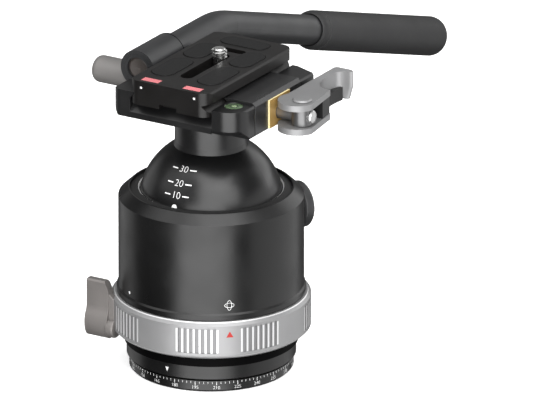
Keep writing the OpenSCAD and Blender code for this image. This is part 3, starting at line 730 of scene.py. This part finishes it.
@dataclass
class SubAssembly:
    """Pieces that are built and dressed together."""

    FINISHES = {}
    """Finish of every CAD node that stays in view."""
    shop: Workshop

    def build(self) -> None:
        """Makes the new pieces."""
        raise NotImplementedError

    def dress(self) -> None:
        """Gives the CAD nodes that stay in view their finishes."""
        for node, finish in self.FINISHES.items():
            self.shop.dress(node, finish)


@dataclass
class PanningBase(SubAssembly):
    """The graduated base and the turning cap above it."""

    FINISHES = {
        "pan_base": Finishes.BODY_BLACK,
        "turning_cap": Finishes.BODY_BLACK,
        "thread_bush": Finishes.STEEL,
        "pan_spindle": Finishes.STEEL,
        "base_screws": Finishes.STEEL,
        "bearing_washer": Finishes.POLYMER,
    }
    scale_r: float = 34.0
    zero_angle: float = 95.0
    label_step: int = 15
    tick_step: int = 3
    tick_top: float = 4.5
    long_tick: Point = (0.2, 1.5)
    short_tick: Point = (0.15, 0.9)
    label_h: float = 1.45
    label_z: float = 1.9
    cap_r: float = 35.0
    index_r: float = 1.15
    index_stretch: Point = (0.78, 1.15)
    index_angle: float = 270.0
    index_z: float = 9.0

    def build(self) -> None:
        """Makes the scale and the index mark."""
        marks = bmesh.new()
        for degree in range(0, 360, self.tick_step):
            long = degree % self.label_step == 0
            width, height = self.long_tick if long else self.short_tick
            tick = Shape.bar(width * MM, height * MM)
            Wrap.drum(tick, self.scale_r * MM, self.zero_angle + degree, (self.tick_top - height / 2) * MM)
            Shape.join(marks, tick)
            if long:
                digits = Shape.words(str(degree), self.label_h * MM)
                Wrap.drum(digits, self.scale_r * MM, self.zero_angle + degree, self.label_z * MM)
                Shape.join(marks, digits)
        self.shop.piece("pan_scale", marks, Finishes.PRINT, Body.BASE)
        index = Shape.disc(self.index_r * MM, 3, turn=180.0)
        bmesh.ops.scale(index, vec=(*self.index_stretch, 1.0), verts=index.verts)
        Wrap.drum(index, self.cap_r * MM, self.index_angle, self.index_z * MM)
        self.shop.piece("pan_index", index, Finishes.PRINT, Body.HOUSING)


@dataclass
class Housing(SubAssembly):
    """The round housing with its printed marks and the ball's seat."""

    FINISHES = {
        "disc_spring": Finishes.STEEL,
        "guide_pin": Finishes.STEEL,
        "pressure_ring": Finishes.BRASS,
        "drag_cup": Finishes.BRASS,
    }
    body_r: float = 38.3
    edge: float = 0.35
    # The sleeve under the lock ring gets the painted-shade black: a painted shadow of the ring.
    sleeve: Band = Band(Finishes.SHADE_BLACK, 35.0, 36.5, 11.0, 33.0)
    dot_r: float = 0.62
    dot_angle: float = 240.0
    dot_z: float = 37.9
    icon_angle: float = 312.5
    icon_z: float = 39.5
    icon_line: float = 0.15
    hoops: tuple[tuple[float, float, float], ...] = ((1.05, 2.2, 1.0), (2.05, 1.05, 1.3))
    ball_z: float = 70.8
    seat_arc_r: float = 30.3
    seat_low: float = 1.9
    seat_high: float = 12.4
    seat_bevel: float = 0.6
    seat_steps: int = 128
    lip_fall: float = 0.4
    line_proud: float = 0.02
    line_depth: float = 0.06
    line_short: float = 0.08

    def build(self) -> None:
        """Makes the marks, the ball's seat and the eased housing, with painted shade on its sleeve under the
        lock ring.
        """
        dot = Shape.disc(self.dot_r * MM, 24)
        Wrap.drum(dot, self.body_r * MM, self.dot_angle, self.dot_z * MM)
        self.shop.piece("lock_dot", dot, Finishes.PRINT, Body.HOUSING)
        self.shop.piece("mode_icon", self._icon(), Finishes.PRINT, Body.HOUSING)
        self._seat()
        EasedNode(self.shop, "housing", Body.HOUSING, Finishes.BODY_BLACK, self.edge, self.sleeve).build()

    def _seat(self) -> None:
        """Makes the ball's seat, up to a lip whose bevel facing the ball is a white painted highlight."""
        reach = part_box("seat_ring")[1].x / MM
        hollow = Shape.arc((0.0, self.ball_z), self.seat_arc_r, self.seat_low, self.seat_high, 12)
        lip_r, lip_z = hollow[-1]
        crest = (lip_r + self.seat_bevel, lip_z + self.seat_bevel)
        section = [*hollow, crest, (reach, lip_z - self.lip_fall), (reach, hollow[0][1])]
        seat = Shape.lathe(section, self.seat_steps)
        self.shop.piece("ball_seat", seat, Finishes.POLYMER, Body.HOUSING, replaces="seat_ring")
        # The bevel line is a painted highlight: a white band in place of the glint on the lip's inner
        # chamfer.
        bevel = [hollow[-1], (crest[0] - self.line_short, crest[1] - self.line_short)]
        face = [(r - self.line_proud, z + self.line_proud) for r, z in bevel]
        under = [(r + self.line_depth, z - self.line_depth) for r, z in reversed(bevel)]
        line = Shape.lathe([*face, *under], self.seat_steps)
        self.shop.piece("seat_line", line, Finishes.GLINT_WHITE, Body.HOUSING)

    def _icon(self) -> BMesh:
        """A generic all-directions sign: two crossed hoops."""
        icon = bmesh.new()
        for wide, high, thick in self.hoops:
            hoop = bmesh.new()
            bmesh.ops.create_circle(hoop, cap_ends=True, radius=1.0 * MM, segments=40)
            bmesh.ops.scale(hoop, vec=(wide, high, 1.0), verts=hoop.verts)
            line = self.icon_line * MM
            band = bmesh.ops.inset_region(hoop, faces=hoop.faces[:], thickness=line, use_boundary=True)
            bmesh.ops.delete(hoop, geom=[f for f in hoop.faces if f not in band["faces"]], context="FACES")
            Shape.join(icon, Shape.thicken(hoop, thick * INK))
        return Wrap.drum(icon, self.body_r * MM, self.icon_angle, self.icon_z * MM)


@dataclass
class LockRing(SubAssembly):
    """The ribbed locking ring with its lever and index."""

    ring_r: float = 41.2
    edge: float = 0.15
    # Faces inside the grooves get the darker painted-shade finish.
    grooves: Band = Band(Finishes.GROOVE_SHADE, 40.3, 41.05, 19.3, 30.5)
    index_angle: float = 312.0
    index_r: float = 1.75
    index_z: float = 27.4
    sectors: tuple[float, ...] = (-121.0, -70.0, -19.0, 19.0, 70.0, 121.0, 172.0)
    rib_step: float = 3.4
    ribs: int = 7
    rib_z: float = 24.9
    rib_h: float = 10.2
    # Width and thickness of the painted highlight strips on the rib crests.
    highlight_w: float = 0.75
    highlight_t: float = 0.02
    bevel: float = 1.5
    # Spans of the painted highlight lines on the upper and lower bevels.
    upper_line: Point = (0.05, 0.4)
    lower_line: Point = (0.65, 1.4)
    line_proud: float = 0.02
    line_t: float = 0.1
    paddle_w: float = 10.6
    paddle_edge: float = 0.75
    blade_in: float = 1.9
    blade_l: float = 11.0
    belly: float = 18.1
    corner_in: float = 2.0
    corner_slope: Point = (4.4, 2.0)
    root_out: float = 2.3
    root_edge: float = 0.4
    neck_r: float = 4.2
    neck_l: float = 4.0
    neck_edge: float = 0.8

    def build(self) -> None:
        """Makes painted highlights on the ribs' crests, the red index, painted highlight lines on the bevels,
        the lever and the eased ring with painted shade in its grooves.
        """
        # Bright strips on every rib's crest: painted highlights.
        rib_highlights = bmesh.new()
        for sector in self.sectors:
            for place in range(self.ribs + 1):
                crest = Shape.bar(self.highlight_w * MM, self.rib_h * MM, self.highlight_t * MM)
                turn = self.index_angle + sector + (place - self.ribs / 2) * self.rib_step
                Shape.join(rib_highlights, Wrap.drum(crest, self.ring_r * MM, turn, self.rib_z * MM))
        self.shop.piece("rib_painted_highlights", rib_highlights, Finishes.RIDGE_HIGHLIGHT, Body.LOCK)
        index = Shape.disc(self.index_r * MM, 3)
        Wrap.drum(index, self.ring_r * MM, self.index_angle, self.index_z * MM)
        self.shop.piece("lock_index", index, Finishes.RED_PRINT, Body.LOCK)
        self._bevel_highlights()
        self._paddle()
        EasedNode(self.shop, "lock_ring", Body.LOCK, Finishes.RING_SILVER, self.edge, self.grooves).build()

    def _bevel_highlights(self) -> None:
        """Makes painted highlight lines, thin bright bands, on the ring's upper and lower bevels."""
        low, high = (corner.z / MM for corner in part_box("lock_ring"))
        inner = self.ring_r - self.bevel
        lines = bmesh.new()
        for edge, into, span in ((high, -1.0, self.upper_line), (low, 1.0, self.lower_line)):
            outer = [(inner + s + self.line_proud, edge + into * (s - self.line_proud)) for s in span]
            inside = [(r - self.line_t, z + into * self.line_t) for r, z in reversed(outer)]
            Shape.join(lines, Shape.lathe([*outer, *inside], 180))
        self.shop.piece("ring_bevel_highlights", lines, Finishes.RIDGE_HIGHLIGHT, Body.LOCK)

    def _paddle(self) -> None:
        """Makes the lock lever: a blade that swells into a roll at its foot, on a short root."""
        low, high = (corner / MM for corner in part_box("lock_lever"))
        front, back, foot, top = low.y, high.y, low.z, high.z
        blade = front + self.blade_in
        belly = (front, top - self.belly)
        start = (blade, top - self.blade_l)
        swell = Shape.curve(start, (blade, top - 13.8), (front + 0.2, top - 14.4), belly)
        under = Shape.curve(belly, (front - 0.1, foot + 2.6), (front + 1.6, foot), (back - 2.2, foot))
        tip = [(back - 0.8, top), (blade + 0.6, top), (blade, top - 0.8)]
        side = [*tip, *swell, *under[1:], (back, foot + 1.4), (back, top - 1.0)]
        inner = low.x + self.paddle_w
        paddle = Shape.plate([side], low.x, inner)
        Shape.move(paddle, Matrix(((0, 0, 1, 0), (1, 0, 0, 0), (0, 1, 0, 0), (0, 0, 0, 1))))
        neck_in = inner - self.corner_in
        corner = Vector((neck_in, 0.0, top)) * MM
        slope = Vector((self.corner_slope[0], 0.0, self.corner_slope[1]))
        geom = [*paddle.verts, *paddle.edges, *paddle.faces]
        bmesh.ops.bisect_plane(
            paddle, geom=geom, dist=NEAR, plane_co=corner, plane_no=slope, clear_outer=True
        )
        bmesh.ops.holes_fill(paddle, edges=paddle.edges[:], sides=0)
        Shape.ease(Shape.outward(paddle), self.paddle_edge, 3)
        root_x = inner + self.root_out
        web = [(neck_in, top - 3.6), (root_x, top - 7.2), (root_x, foot + 4.8), (neck_in, foot + 3.6)]
        root = Shape.plate([web], -back + 0.5, -blade - 0.4)
        Shape.move(root, Matrix.Rotation(math.radians(90.0), 4, "X"))
        Shape.join(paddle, Shape.ease(root, self.root_edge))
        neck = Shape.disc(self.neck_r * MM, 40, self.neck_l * MM)
        centre = Vector((inner - 0.9, front + self.neck_r - 0.5, foot + self.neck_r + 0.7))
        place = Matrix.Translation(centre * MM)
        Shape.move(Shape.ease(neck, self.neck_edge, 3), place @ Matrix.Rotation(math.radians(90.0), 4, "Y"))
        Shape.join(paddle, neck)
        self.shop.piece(
            "lock_paddle", paddle, Finishes.LEVER_GREY, Body.LOCK, replaces="lock_lever", weighted=True
        )


@dataclass
class Ball(SubAssembly):
    """The ball with its tilt scale, and the neck on it."""

    FINISHES = {"ball": Finishes.BALL_BLACK, "neck": Finishes.CLAMP_BLACK, "neck_bolt": Finishes.STEEL}
    ball_r: float = 30.0
    ball_z: float = 70.8
    dot_polar: float = 76.7
    dot_r: float = 1.2
    label_polar: dict[int, float] = field(default_factory=lambda: {10: 67.2, 20: 57.5, 30: 45.5})
    label_h: float = 3.0
    dash: Point = (2.8, 0.5)
    dash_x: float = 4.3

    def build(self) -> None:
        """Makes the tilt scale on the ball's front."""
        marks = bmesh.new()
        for degree, polar in self.label_polar.items():
            self._lay(marks, Shape.words(str(degree), self.label_h * MM), polar)
            for side in (-1, 1):
                dash = Shape.bar(self.dash[0] * MM, self.dash[1] * MM)
                bmesh.ops.translate(dash, vec=(side * self.dash_x * MM, 0.0, 0.0), verts=dash.verts)
                self._lay(marks, dash, polar)
        self._lay(marks, Shape.disc(self.dot_r * MM, 28), self.dot_polar)
        self.shop.piece("tilt_scale", marks, Finishes.PRINT, Body.HEAD)

    def _lay(self, marks: BMesh, mark: BMesh, polar: float) -> None:
        """Bends one mark onto the ball and adds it to the scale.

        Args:
            marks: The scale.
            mark: The flat mark.
            polar: Angle of its middle from straight up, in degrees.
        """
        Wrap.globe(mark, self.ball_r * MM, self.ball_z * MM, polar)
        Shape.join(marks, mark)


@dataclass
class ClampHead(SubAssembly):
    """The dovetail clamp with its level and jaw."""

    # The thrust plate gets the darkened brass: painted shade on its face.
    FINISHES = {"guide_rods": Finishes.STEEL, "draw_bar": Finishes.BARREL, "thrust_plate": Finishes.BRASS}
    edge: float = 0.3
    rim: float = 0.25
    target: Point = (1.55, 1.8)
    bubble_shift: Point = (0.15, 0.1)
    button_r: float = 2.9

    def build(self) -> None:
        """Makes the level, the draw bar's button, the painted brass highlights on the thrust plate's edges,
        and the eased clamp and jaw.
        """
        self._level()
        self._barrel_button()
        self._brass_highlights()
        EasedNode(self.shop, "clamp_base", Body.HEAD, Finishes.CLAMP_BLACK, self.edge).build()
        EasedNode(self.shop, "moving_jaw", Body.JAW, Finishes.JAW_BLACK, self.edge).build()

    def _level(self) -> None:
        """Makes the bubble level: a rim, the liquid, the ring on its glass and the bubble."""
        low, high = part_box("bubble_level")
        middle = (low + high) / 2
        radius = (high.x - low.x) / 2 / MM
        top, floor = high.z / MM, low.z / MM
        inner = radius - self.rim
        rest = Matrix.Translation((middle.x, middle.y, 0.0))
        rim = [(inner, floor), (radius, floor), (radius, top), (radius - 0.15, top), (inner, top - 0.1)]
        bezel = Shape.move(Shape.lathe(rim, 64), rest)
        self.shop.piece("level_bezel", bezel, Finishes.CLAMP_BLACK, Body.HEAD, replaces="bubble_level")
        wall = [(0.0, floor), (inner, floor), (inner, top - 0.35)]
        dome = [*wall, (radius * 0.5, top - 0.15), (0.0, top - 0.1)]
        liquid = Shape.move(Shape.lathe(dome, 64, closed=False), rest)
        self.shop.piece("level_liquid", liquid, Finishes.LIQUID, Body.HEAD)
        near, far = self.target
        ring = [(near, top - 0.16), (far, top - 0.2), (far, top - 0.06), (near, top - 0.04)]
        self.shop.piece("level_ring", Shape.move(Shape.lathe(ring, 48), rest), Finishes.POLYMER, Body.HEAD)
        drop = [(0.0, top - 0.25), (1.15, top - 0.25), (1.05, top - 0.06), (0.6, top - 0.01), (0.0, top)]
        shift = Matrix.Translation((self.bubble_shift[0] * MM, self.bubble_shift[1] * MM, 0.0))
        bubble = Shape.move(Shape.lathe(drop, 40, closed=False), rest @ shift)
        self.shop.piece("level_bubble", bubble, Finishes.BUBBLE, Body.HEAD)

    def _barrel_button(self) -> None:
        """Makes the domed end of the draw bar on its barrel."""
        low, high = (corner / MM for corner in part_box("draw_bar"))
        edge = self.button_r
        dome = [(0.0, -0.9), (edge, -0.9), (edge, 0.4), (2.4, 1.0), (1.3, 1.35), (0.0, 1.45)]
        button = Shape.lathe(dome, 40, closed=False)
        place = Matrix.Translation(Vector((high.x, 0.0, (low.z + high.z) / 2)) * MM)
        Shape.move(button, place @ Matrix.Rotation(math.radians(90.0), 4, "Y"))
        self.shop.piece("barrel_button", button, Finishes.POLISHED, Body.HEAD)

    def _brass_highlights(self) -> None:
        """Makes painted highlights: bright brass strips on the front and top edges of the thrust plate."""
        low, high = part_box("thrust_plate")
        middle = (low + high) / 2
        size = high - low
        edges = Shape.bar(size.x, size.z)
        stand = Matrix.Translation((middle.x, low.y, middle.z)) @ Matrix.Rotation(math.radians(90.0), 4, "X")
        Shape.move(edges, stand)
        top = Shape.bar(size.x, size.y)
        Shape.join(edges, Shape.move(top, Matrix.Translation((middle.x, middle.y, high.z))))
        self.shop.piece("thrust_highlights", edges, Finishes.BRASS_HIGHLIGHT, Body.JAW)


@dataclass
class CamLever(SubAssembly):
    """The clamp's cam lever: two cheeks on the pin, a cranked arm with a finger scoop, and a dark core."""

    FINISHES = {"cam_pin": Finishes.CAM_SILVER}
    pin_r: float = 2.55
    cam_offset: float = 2.2
    cheek_t: float = 2.6
    cheek_end: float = 16.8
    arm_left: float = 1.1
    arm_right: float = 13.7
    height: float = 12.9
    tip_start: float = 37.6
    tip_end: float = 41.9
    scoop_drop: float = 4.0
    tip_drop: float = 5.4
    tip_lean: float = -1.5
    bend_run: float = 10.0
    bend: tuple[float, float, float] = (0.2112, -0.3487, 0.1517)
    edge: float = 0.4
    core_edge: float = 0.25

    def build(self) -> None:
        """Makes the lever's silver arm and its dark core."""
        low, _high = (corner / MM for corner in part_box("cam_lever"))
        cam_r = -low.y
        centre = (low.x + cam_r, 0.0)
        hole = Shape.arc((centre[0] + self.cam_offset, 0.0), self.pin_r, 0.0, 345.0)
        left, right = low.x + self.arm_left, low.x + self.arm_right
        eye = Shape.arc(centre, cam_r, 150.0, 347.0, 36)
        foot = low.z
        top = foot + self.height
        end = self.cheek_end
        outline = [*eye, (right, end), *self._arm_plan(left)]
        arm = Shape.plate([outline, hole], top - self.cheek_t, top)
        Shape.cut(arm, end)
        Shape.draw_down(arm, end, self.scoop_drop)
        Shape.cut(arm, self.tip_start)
        Shape.draw_down(arm, self.tip_start, self.tip_drop, self.tip_lean)
        cheek = [*eye, (right, end), (right - 1.6, end + 1.2), (left + 1.6, end + 1.2), (left, end - 0.4)]
        Shape.join(arm, Shape.plate([cheek, hole], foot, foot + self.cheek_t))
        self._crank(arm)
        Shape.ease(arm, self.edge)
        self.shop.piece(
            "clamp_arm", arm, Finishes.CAM_SILVER, Body.LEVER, replaces="cam_lever", weighted=True
        )
        core_end = end - 0.1
        block = [(left + 1.6, 9.6), (right + 0.7, 9.6), (right - 0.3, core_end), (left + 1.6, core_end)]
        core = Shape.plate([block], foot + self.cheek_t, top - self.cheek_t)
        tip = (left + 6.0, self.tip_start)
        face = Shape.curve((left + 7.8, core_end), (left + 5.8, 23.0), (left + 4.6, 30.0), tip)
        pad = [*face, (left + 1.2, self.tip_start), (left + 1.2, core_end)]
        Shape.join(core, Shape.plate([pad], foot + 0.7, top - self.cheek_t - self.scoop_drop))
        self._crank(core)
        Shape.ease(core, self.core_edge)
        self.shop.piece("lever_core", core, Finishes.POLYMER, Body.LEVER, replaces="lever_pad", weighted=True)

    def _arm_plan(self, left: float) -> list[Point]:
        """Outline of the arm: along the scoop to the tip, round it and back along the clamp's side.

        Args:
            left: Where the side towards the clamp is, in millimetres.

        Returns:
            The points in order.
        """
        end = self.tip_end
        start = (left + 9.8, self.cheek_end)
        scoop = Shape.curve(start, (left + 5.8, 17.8), (left + 3.4, 22.5), (left + 3.2, 30.0))
        hook = Shape.curve(scoop[-1], (left + 3.0, 36.0), (left + 4.2, 38.6), (left + 8.2, 38.8))
        nose = Shape.curve(hook[-1], (left + 10.6, 39.2), (left + 9.4, end), (left + 6.2, end), 9)
        heel = Shape.curve((left + 2.1, end), (left + 0.6, end), (left, end - 0.7), (left, end - 2.0), 6)
        return [*scoop, *hook[1:], *nose[1:], *heel]

    def _crank(self, shape: BMesh) -> None:
        """Bends the part beyond the cheeks outwards and up.

        Args:
            shape: The straight shape.
        """
        start = self.cheek_end + 0.2
        for step in range(1, int(self.bend_run) + 1):
            Shape.cut(shape, start + step)
        for v in shape.verts:
            run = max(0.0, v.co.y / MM - start)
            if run < self.bend_run:
                bent = run**2 / (2 * self.bend_run)
            else:
                bent = run - self.bend_run / 2
            v.co += Vector(self.bend) * bent * MM
        Shape.outward(shape)


@dataclass
class QuickPlate(SubAssembly):
    """The quick plate with its pads, tabs and captive camera screw."""

    FINISHES = {"screw_washer": Finishes.STEEL}
    edge: float = 0.35
    tab_edge: float = 0.15
    pad_edge: float = 0.2
    pitch: float = 1.27
    thread_r: float = 3.175
    core_r: float = 2.6
    thread_turns: float = 2.6
    thread_steps: int = 120
    head_h: float = 3.0
    head_edge: float = 0.3
    tip_edge: float = 0.45
    dot_r: float = 0.5
    dot_x: float = 12.7
    dot_z: float = 129.1

    def build(self) -> None:
        """Makes the threaded screw, the dots on the plate's front, and the eased plate, tabs and pads."""
        self._screw()
        low, _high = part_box("quick_plate")
        dots = bmesh.new()
        for side in (-1, 1):
            dot = Shape.disc(self.dot_r * MM, 24)
            stand = Matrix.Translation((side * self.dot_x * MM, low.y, self.dot_z * MM))
            Shape.move(dot, stand @ Matrix.Rotation(math.radians(90.0), 4, "X"))
            Shape.join(dots, dot)
        self.shop.piece("plate_dots", dots, Finishes.PRINT, Body.PLATE)
        EasedNode(self.shop, "quick_plate", Body.PLATE, Finishes.PLATE_BLACK, self.edge).build()
        EasedNode(self.shop, "stop_tabs", Body.PLATE, Finishes.RED_TAB, self.tab_edge).build()
        EasedNode(self.shop, "grip_pads", Body.PLATE, Finishes.PAD, self.pad_edge).build()

    def _screw(self) -> None:
        """Makes the camera screw with a real thread over the CAD one's core."""
        low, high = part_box("camera_screw")
        middle = (low + high) / 2
        head_r = (high.x - low.x) / 2 / MM
        foot, top = low.z / MM, high.z / MM
        shoulder = foot + self.head_h
        edge, tip = self.head_edge, self.tip_edge
        core = [
            (0.0, foot),
            (head_r - edge, foot),
            (head_r, foot + edge),
            (head_r, shoulder - edge),
            (head_r - edge, shoulder),
            (self.core_r, shoulder),
            (self.core_r, top - tip),
            (self.core_r - tip, top),
            (0.0, top),
        ]
        shape = Shape.lathe(core, 64, closed=False)
        rise = self.thread_turns * self.pitch
        start = top - 0.55 - rise
        root_r = self.core_r - 0.15
        tooth = [(root_r, -0.5), (self.thread_r, -0.08), (self.thread_r, 0.08), (root_r, 0.5)]
        thread = bmesh.new()
        ring = [thread.verts.new((r * MM, 0.0, (start + z) * MM)) for r, z in tooth]
        face = thread.faces.new(ring)
        bmesh.ops.spin(
            thread,
            geom=[face, *face.edges, *face.verts],
            cent=(0.0, 0.0, 0.0),
            axis=(0.0, 0.0, 1.0),
            dvec=(0.0, 0.0, rise * MM / self.thread_steps),
            angle=math.tau * self.thread_turns,
            steps=self.thread_steps,
        )
        Shape.join(shape, Shape.outward(thread))
        Shape.move(shape, Matrix.Translation((middle.x, middle.y, 0.0)))
        self.shop.piece("threaded_screw", shape, Finishes.STEEL, Body.SCREW, replaces="camera_screw")


@dataclass
class PanHandle(SubAssembly):
    """The pan handle with its clamp and lock knob."""

    FINISHES = {
        "handle_tube": Finishes.TUBE_BLACK,
        "end_plug": Finishes.PLUG,
        "bar_knob": Finishes.KNOB_GREY,
        "bar_screw": Finishes.STEEL,
    }
    bend: tuple[float, float, float] = (-30.5, 54.2, 125.7)
    bend_angle: float = 18.6
    tube_r: float = 6.4
    grip_r: float = 8.4
    socket_r: float = 8.1
    socket_end: float = 17.0
    socket_edge: float = 0.4
    grip_start: float = 78.0
    grip_end: float = 185.0
    end_wall: float = 3.0
    line_in: Point = (1.2, 0.7)
    line_proud: float = 0.02
    line_depth: float = 0.2

    def build(self) -> None:
        """Makes the rubber grip, a dark ring on the collar as a painted shadow line, and the eased collar."""
        place = Matrix.Translation(Vector(self.bend) * MM)
        tail = place @ Matrix.Rotation(math.radians(-90.0 - self.bend_angle), 4, "X")
        grip = Shape.move(Shape.lathe(self._grip_section(), 80), tail)
        self.shop.piece("rubber_grip", grip, Finishes.RUBBER, Body.HANDLE, replaces="handle_grip")
        # A thin near-black ring near the collar's end: a painted shadow line at the seam.
        first, last = (self.socket_end - inset for inset in self.line_in)
        inner, outer = self.socket_r - self.line_depth, self.socket_r + self.line_proud
        line = Shape.lathe([(inner, first), (outer, first), (outer, last), (inner, last)], 80)
        axis = Matrix.Translation(Vector((self.bend[0], 0.0, self.bend[2])) * MM)
        Shape.move(line, axis @ Matrix.Rotation(math.radians(-90.0), 4, "X"))
        self.shop.piece("collar_shade_line", line, Finishes.SHADE_BLACK, Body.BAR_CLAMP)
        EasedNode(self.shop, "bar_clamp", Body.BAR_CLAMP, Finishes.TUBE_BLACK, self.socket_edge).build()

    def _grip_section(self) -> list[Point]:
        """Section of the grip: a full shoulder, a bead behind its nose and a rounded end."""
        r, s, e = self.grip_r, self.grip_start, self.grip_end
        wall = e - self.end_wall
        nose = [(self.tube_r, s + 0.6), (self.tube_r + 0.5, s), (r - 0.9, s + 0.5), (r - 0.35, s + 1.4)]
        shoulder = [(r - 0.05, s + 2.8), (r, s + 4.0), (r - 0.1, s + 4.5), (r - 0.45, s + 4.7)]
        bead = [(r - 0.45, s + 5.2), (r - 0.1, s + 5.4), (r, s + 5.9)]
        end = [(r, wall), (r - 0.25, e - 1.7), (r - 0.9, e - 0.7), (r - 2.2, e - 0.1), (r - 4.0, e), (0.0, e)]
        return [*nose, *shoulder, *bead, *end, (0.0, wall), (self.tube_r, wall)]


@dataclass
class DragKnob(SubAssembly):
    """The ball's drag knob on the housing."""

    FINISHES = {"drag_screw": Finishes.STEEL, "drag_tip": Finishes.POLYMER}
    edge: float = 0.3

    def build(self) -> None:
        """Makes the eased knob."""
        EasedNode(self.shop, "drag_knob", Body.DRAG, Finishes.KNOB_BLACK, self.edge).build()


@dataclass(frozen=True)
class Softbox:
    """A soft light: its world angle in degrees, and its place and size in metres."""

    name: str
    angle: float
    reach: float
    z: float
    size: tuple[float, float]
    watts: float


SOFTBOXES = (
    Softbox("key_front", 293.0, 0.95, -0.15, (1.2, 1.0), 14.0),
    Softbox("fill_right", 33.0, 1.0, -0.1, (1.8, 1.0), 5.5),
    Softbox("edge_left", 172.0, 1.0, -0.1, (0.7, 1.0), 1.2),
    Softbox("edge_back", 70.0, 1.0, 0.46, (0.8, 0.6), 2.4),
    Softbox("back_low", 112.0, 1.1, 0.4, (0.9, 0.5), 0.35),
    Softbox("fill_high", 225.0, 0.8, 0.7, (0.9, 0.9), 2.6),
    Softbox("front_mid", 315.0, 0.8, 0.5, (1.1, 0.5), 6.5),
    Softbox("front_high", 311.0, 0.62, 1.12, (1.1, 0.8), 10.8),
    Softbox("overhead", 90.0, 0.05, 1.6, (2.4, 2.4), 17.0),
)


@dataclass
class Studio:
    """Floor, soft lights and a camera at the photograph's angle."""

    azimuth: float = 31.2
    elevation: float = 20.4
    frame_width: float = 219.34
    aim_right: float = 22.75
    aim_up: float = 67.16
    aim_near: float = 25.0
    lens: float = 1200.0
    sensor: float = 36.0
    far: float = 60.0
    floor_half: float = 6.0
    floor_drop: float = 0.3
    floor_glow: float = 0.55
    light_aim: float = 0.07
    world_level: float = 0.09

    def _axes(self) -> tuple[Vector, Vector, Vector]:
        """Right, up and towards-the-camera directions of the view."""
        a, e = math.radians(self.azimuth), math.radians(self.elevation)
        near = Vector((math.sin(a) * math.cos(e), -math.cos(a) * math.cos(e), math.sin(e)))
        right = Vector((math.cos(a), math.sin(a), 0.0))
        return right, near.cross(right), near

    def camera(self) -> None:
        """Makes the long-lens camera and makes it the scene's own."""
        right, up, near = self._axes()
        data = bpy.data.cameras.new("view")
        data.lens = self.lens
        data.sensor_width = self.sensor
        data.clip_end = self.far
        eye = bpy.data.objects.new("view", data)
        bpy.context.scene.collection.objects.link(eye)
        aim = (right * self.aim_right + up * self.aim_up + near * self.aim_near) * MM
        eye.location = aim + near * (self.frame_width * MM * self.lens / self.sensor)
        eye.rotation_mode = "QUATERNION"
        eye.rotation_quaternion = near.to_track_quat("Z", "Y")
        bpy.context.scene.camera = eye

    def floor(self) -> None:
        """Makes the plain pale floor."""
        shape = bmesh.new()
        bmesh.ops.create_grid(shape, x_segments=1, y_segments=1, size=self.floor_half)
        bmesh.ops.translate(shape, vec=(0.0, 0.0, -self.floor_drop * MM), verts=shape.verts)
        mesh = bpy.data.meshes.new("floor")
        shape.to_mesh(mesh)
        shape.free()
        paint = bpy.data.materials.new("pale_floor")
        paint.use_nodes = True
        shader = paint.node_tree.nodes["Principled BSDF"]
        shader.inputs["Base Color"].default_value = (0.94, 0.94, 0.94, 1.0)
        shader.inputs["Emission Color"].default_value = (1.0, 1.0, 1.0, 1.0)
        shader.inputs["Emission Strength"].default_value = self.floor_glow
        shader.inputs["Roughness"].default_value = 0.9
        mesh.materials.append(paint)
        ground = bpy.data.objects.new("floor", mesh)
        ground.visible_glossy = False
        ground.visible_diffuse = False
        ground.visible_shadow = False
        bpy.context.scene.collection.objects.link(ground)

    def light(self, box: Softbox) -> None:
        """Makes one softbox that faces the head.

        Args:
            box: Place, size and power of the softbox.
        """
        data = bpy.data.lights.new(box.name, "AREA")
        data.shape = "RECTANGLE"
        data.size, data.size_y = box.size
        data.energy = box.watts
        lamp = bpy.data.objects.new(box.name, data)
        turn = math.radians(box.angle)
        lamp.location = (box.reach * math.cos(turn), box.reach * math.sin(turn), box.z)
        towards = Vector((0.0, 0.0, self.light_aim)) - lamp.location
        lamp.rotation_mode = "QUATERNION"
        lamp.rotation_quaternion = towards.to_track_quat("-Z", "Y")
        bpy.context.scene.collection.objects.link(lamp)

    def build(self) -> None:
        """Sets up the camera, the floor, the lights and the world."""
        self.camera()
        self.floor()
        for box in SOFTBOXES:
            self.light(box)
        world = bpy.data.worlds.new("studio")
        world.use_nodes = True
        sky = world.node_tree.nodes["Background"]
        path = world.node_tree.nodes.new("ShaderNodeLightPath")
        level = world.node_tree.nodes.new("ShaderNodeMapRange")
        level.inputs["To Min"].default_value = self.world_level
        level.inputs["To Max"].default_value = 1.0
        world.node_tree.links.new(path.outputs["Is Camera Ray"], level.inputs["Value"])
        world.node_tree.links.new(level.outputs["Result"], sky.inputs["Strength"])
        sky.inputs["Color"].default_value = (1.0, 1.0, 1.0, 1.0)
        bpy.context.scene.world = world
        bpy.context.scene.view_settings.view_transform = "Standard"


def main() -> None:
    """Builds the studio and dresses every sub-assembly."""
    logging.basicConfig(level=logging.INFO, format="%(name)s: %(message)s")
    Studio().build()
    shop = Workshop()
    lower = (PanningBase(shop), Housing(shop), LockRing(shop), Ball(shop), DragKnob(shop))
    upper = (ClampHead(shop), CamLever(shop), QuickPlate(shop), PanHandle(shop))
    for part in (*lower, *upper):
        part.build()
        part.dress()
    LOG.info("dressed %d nodes with %d new pieces", len(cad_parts), len(shop.made))


if __name__ == "__main__":
    main()
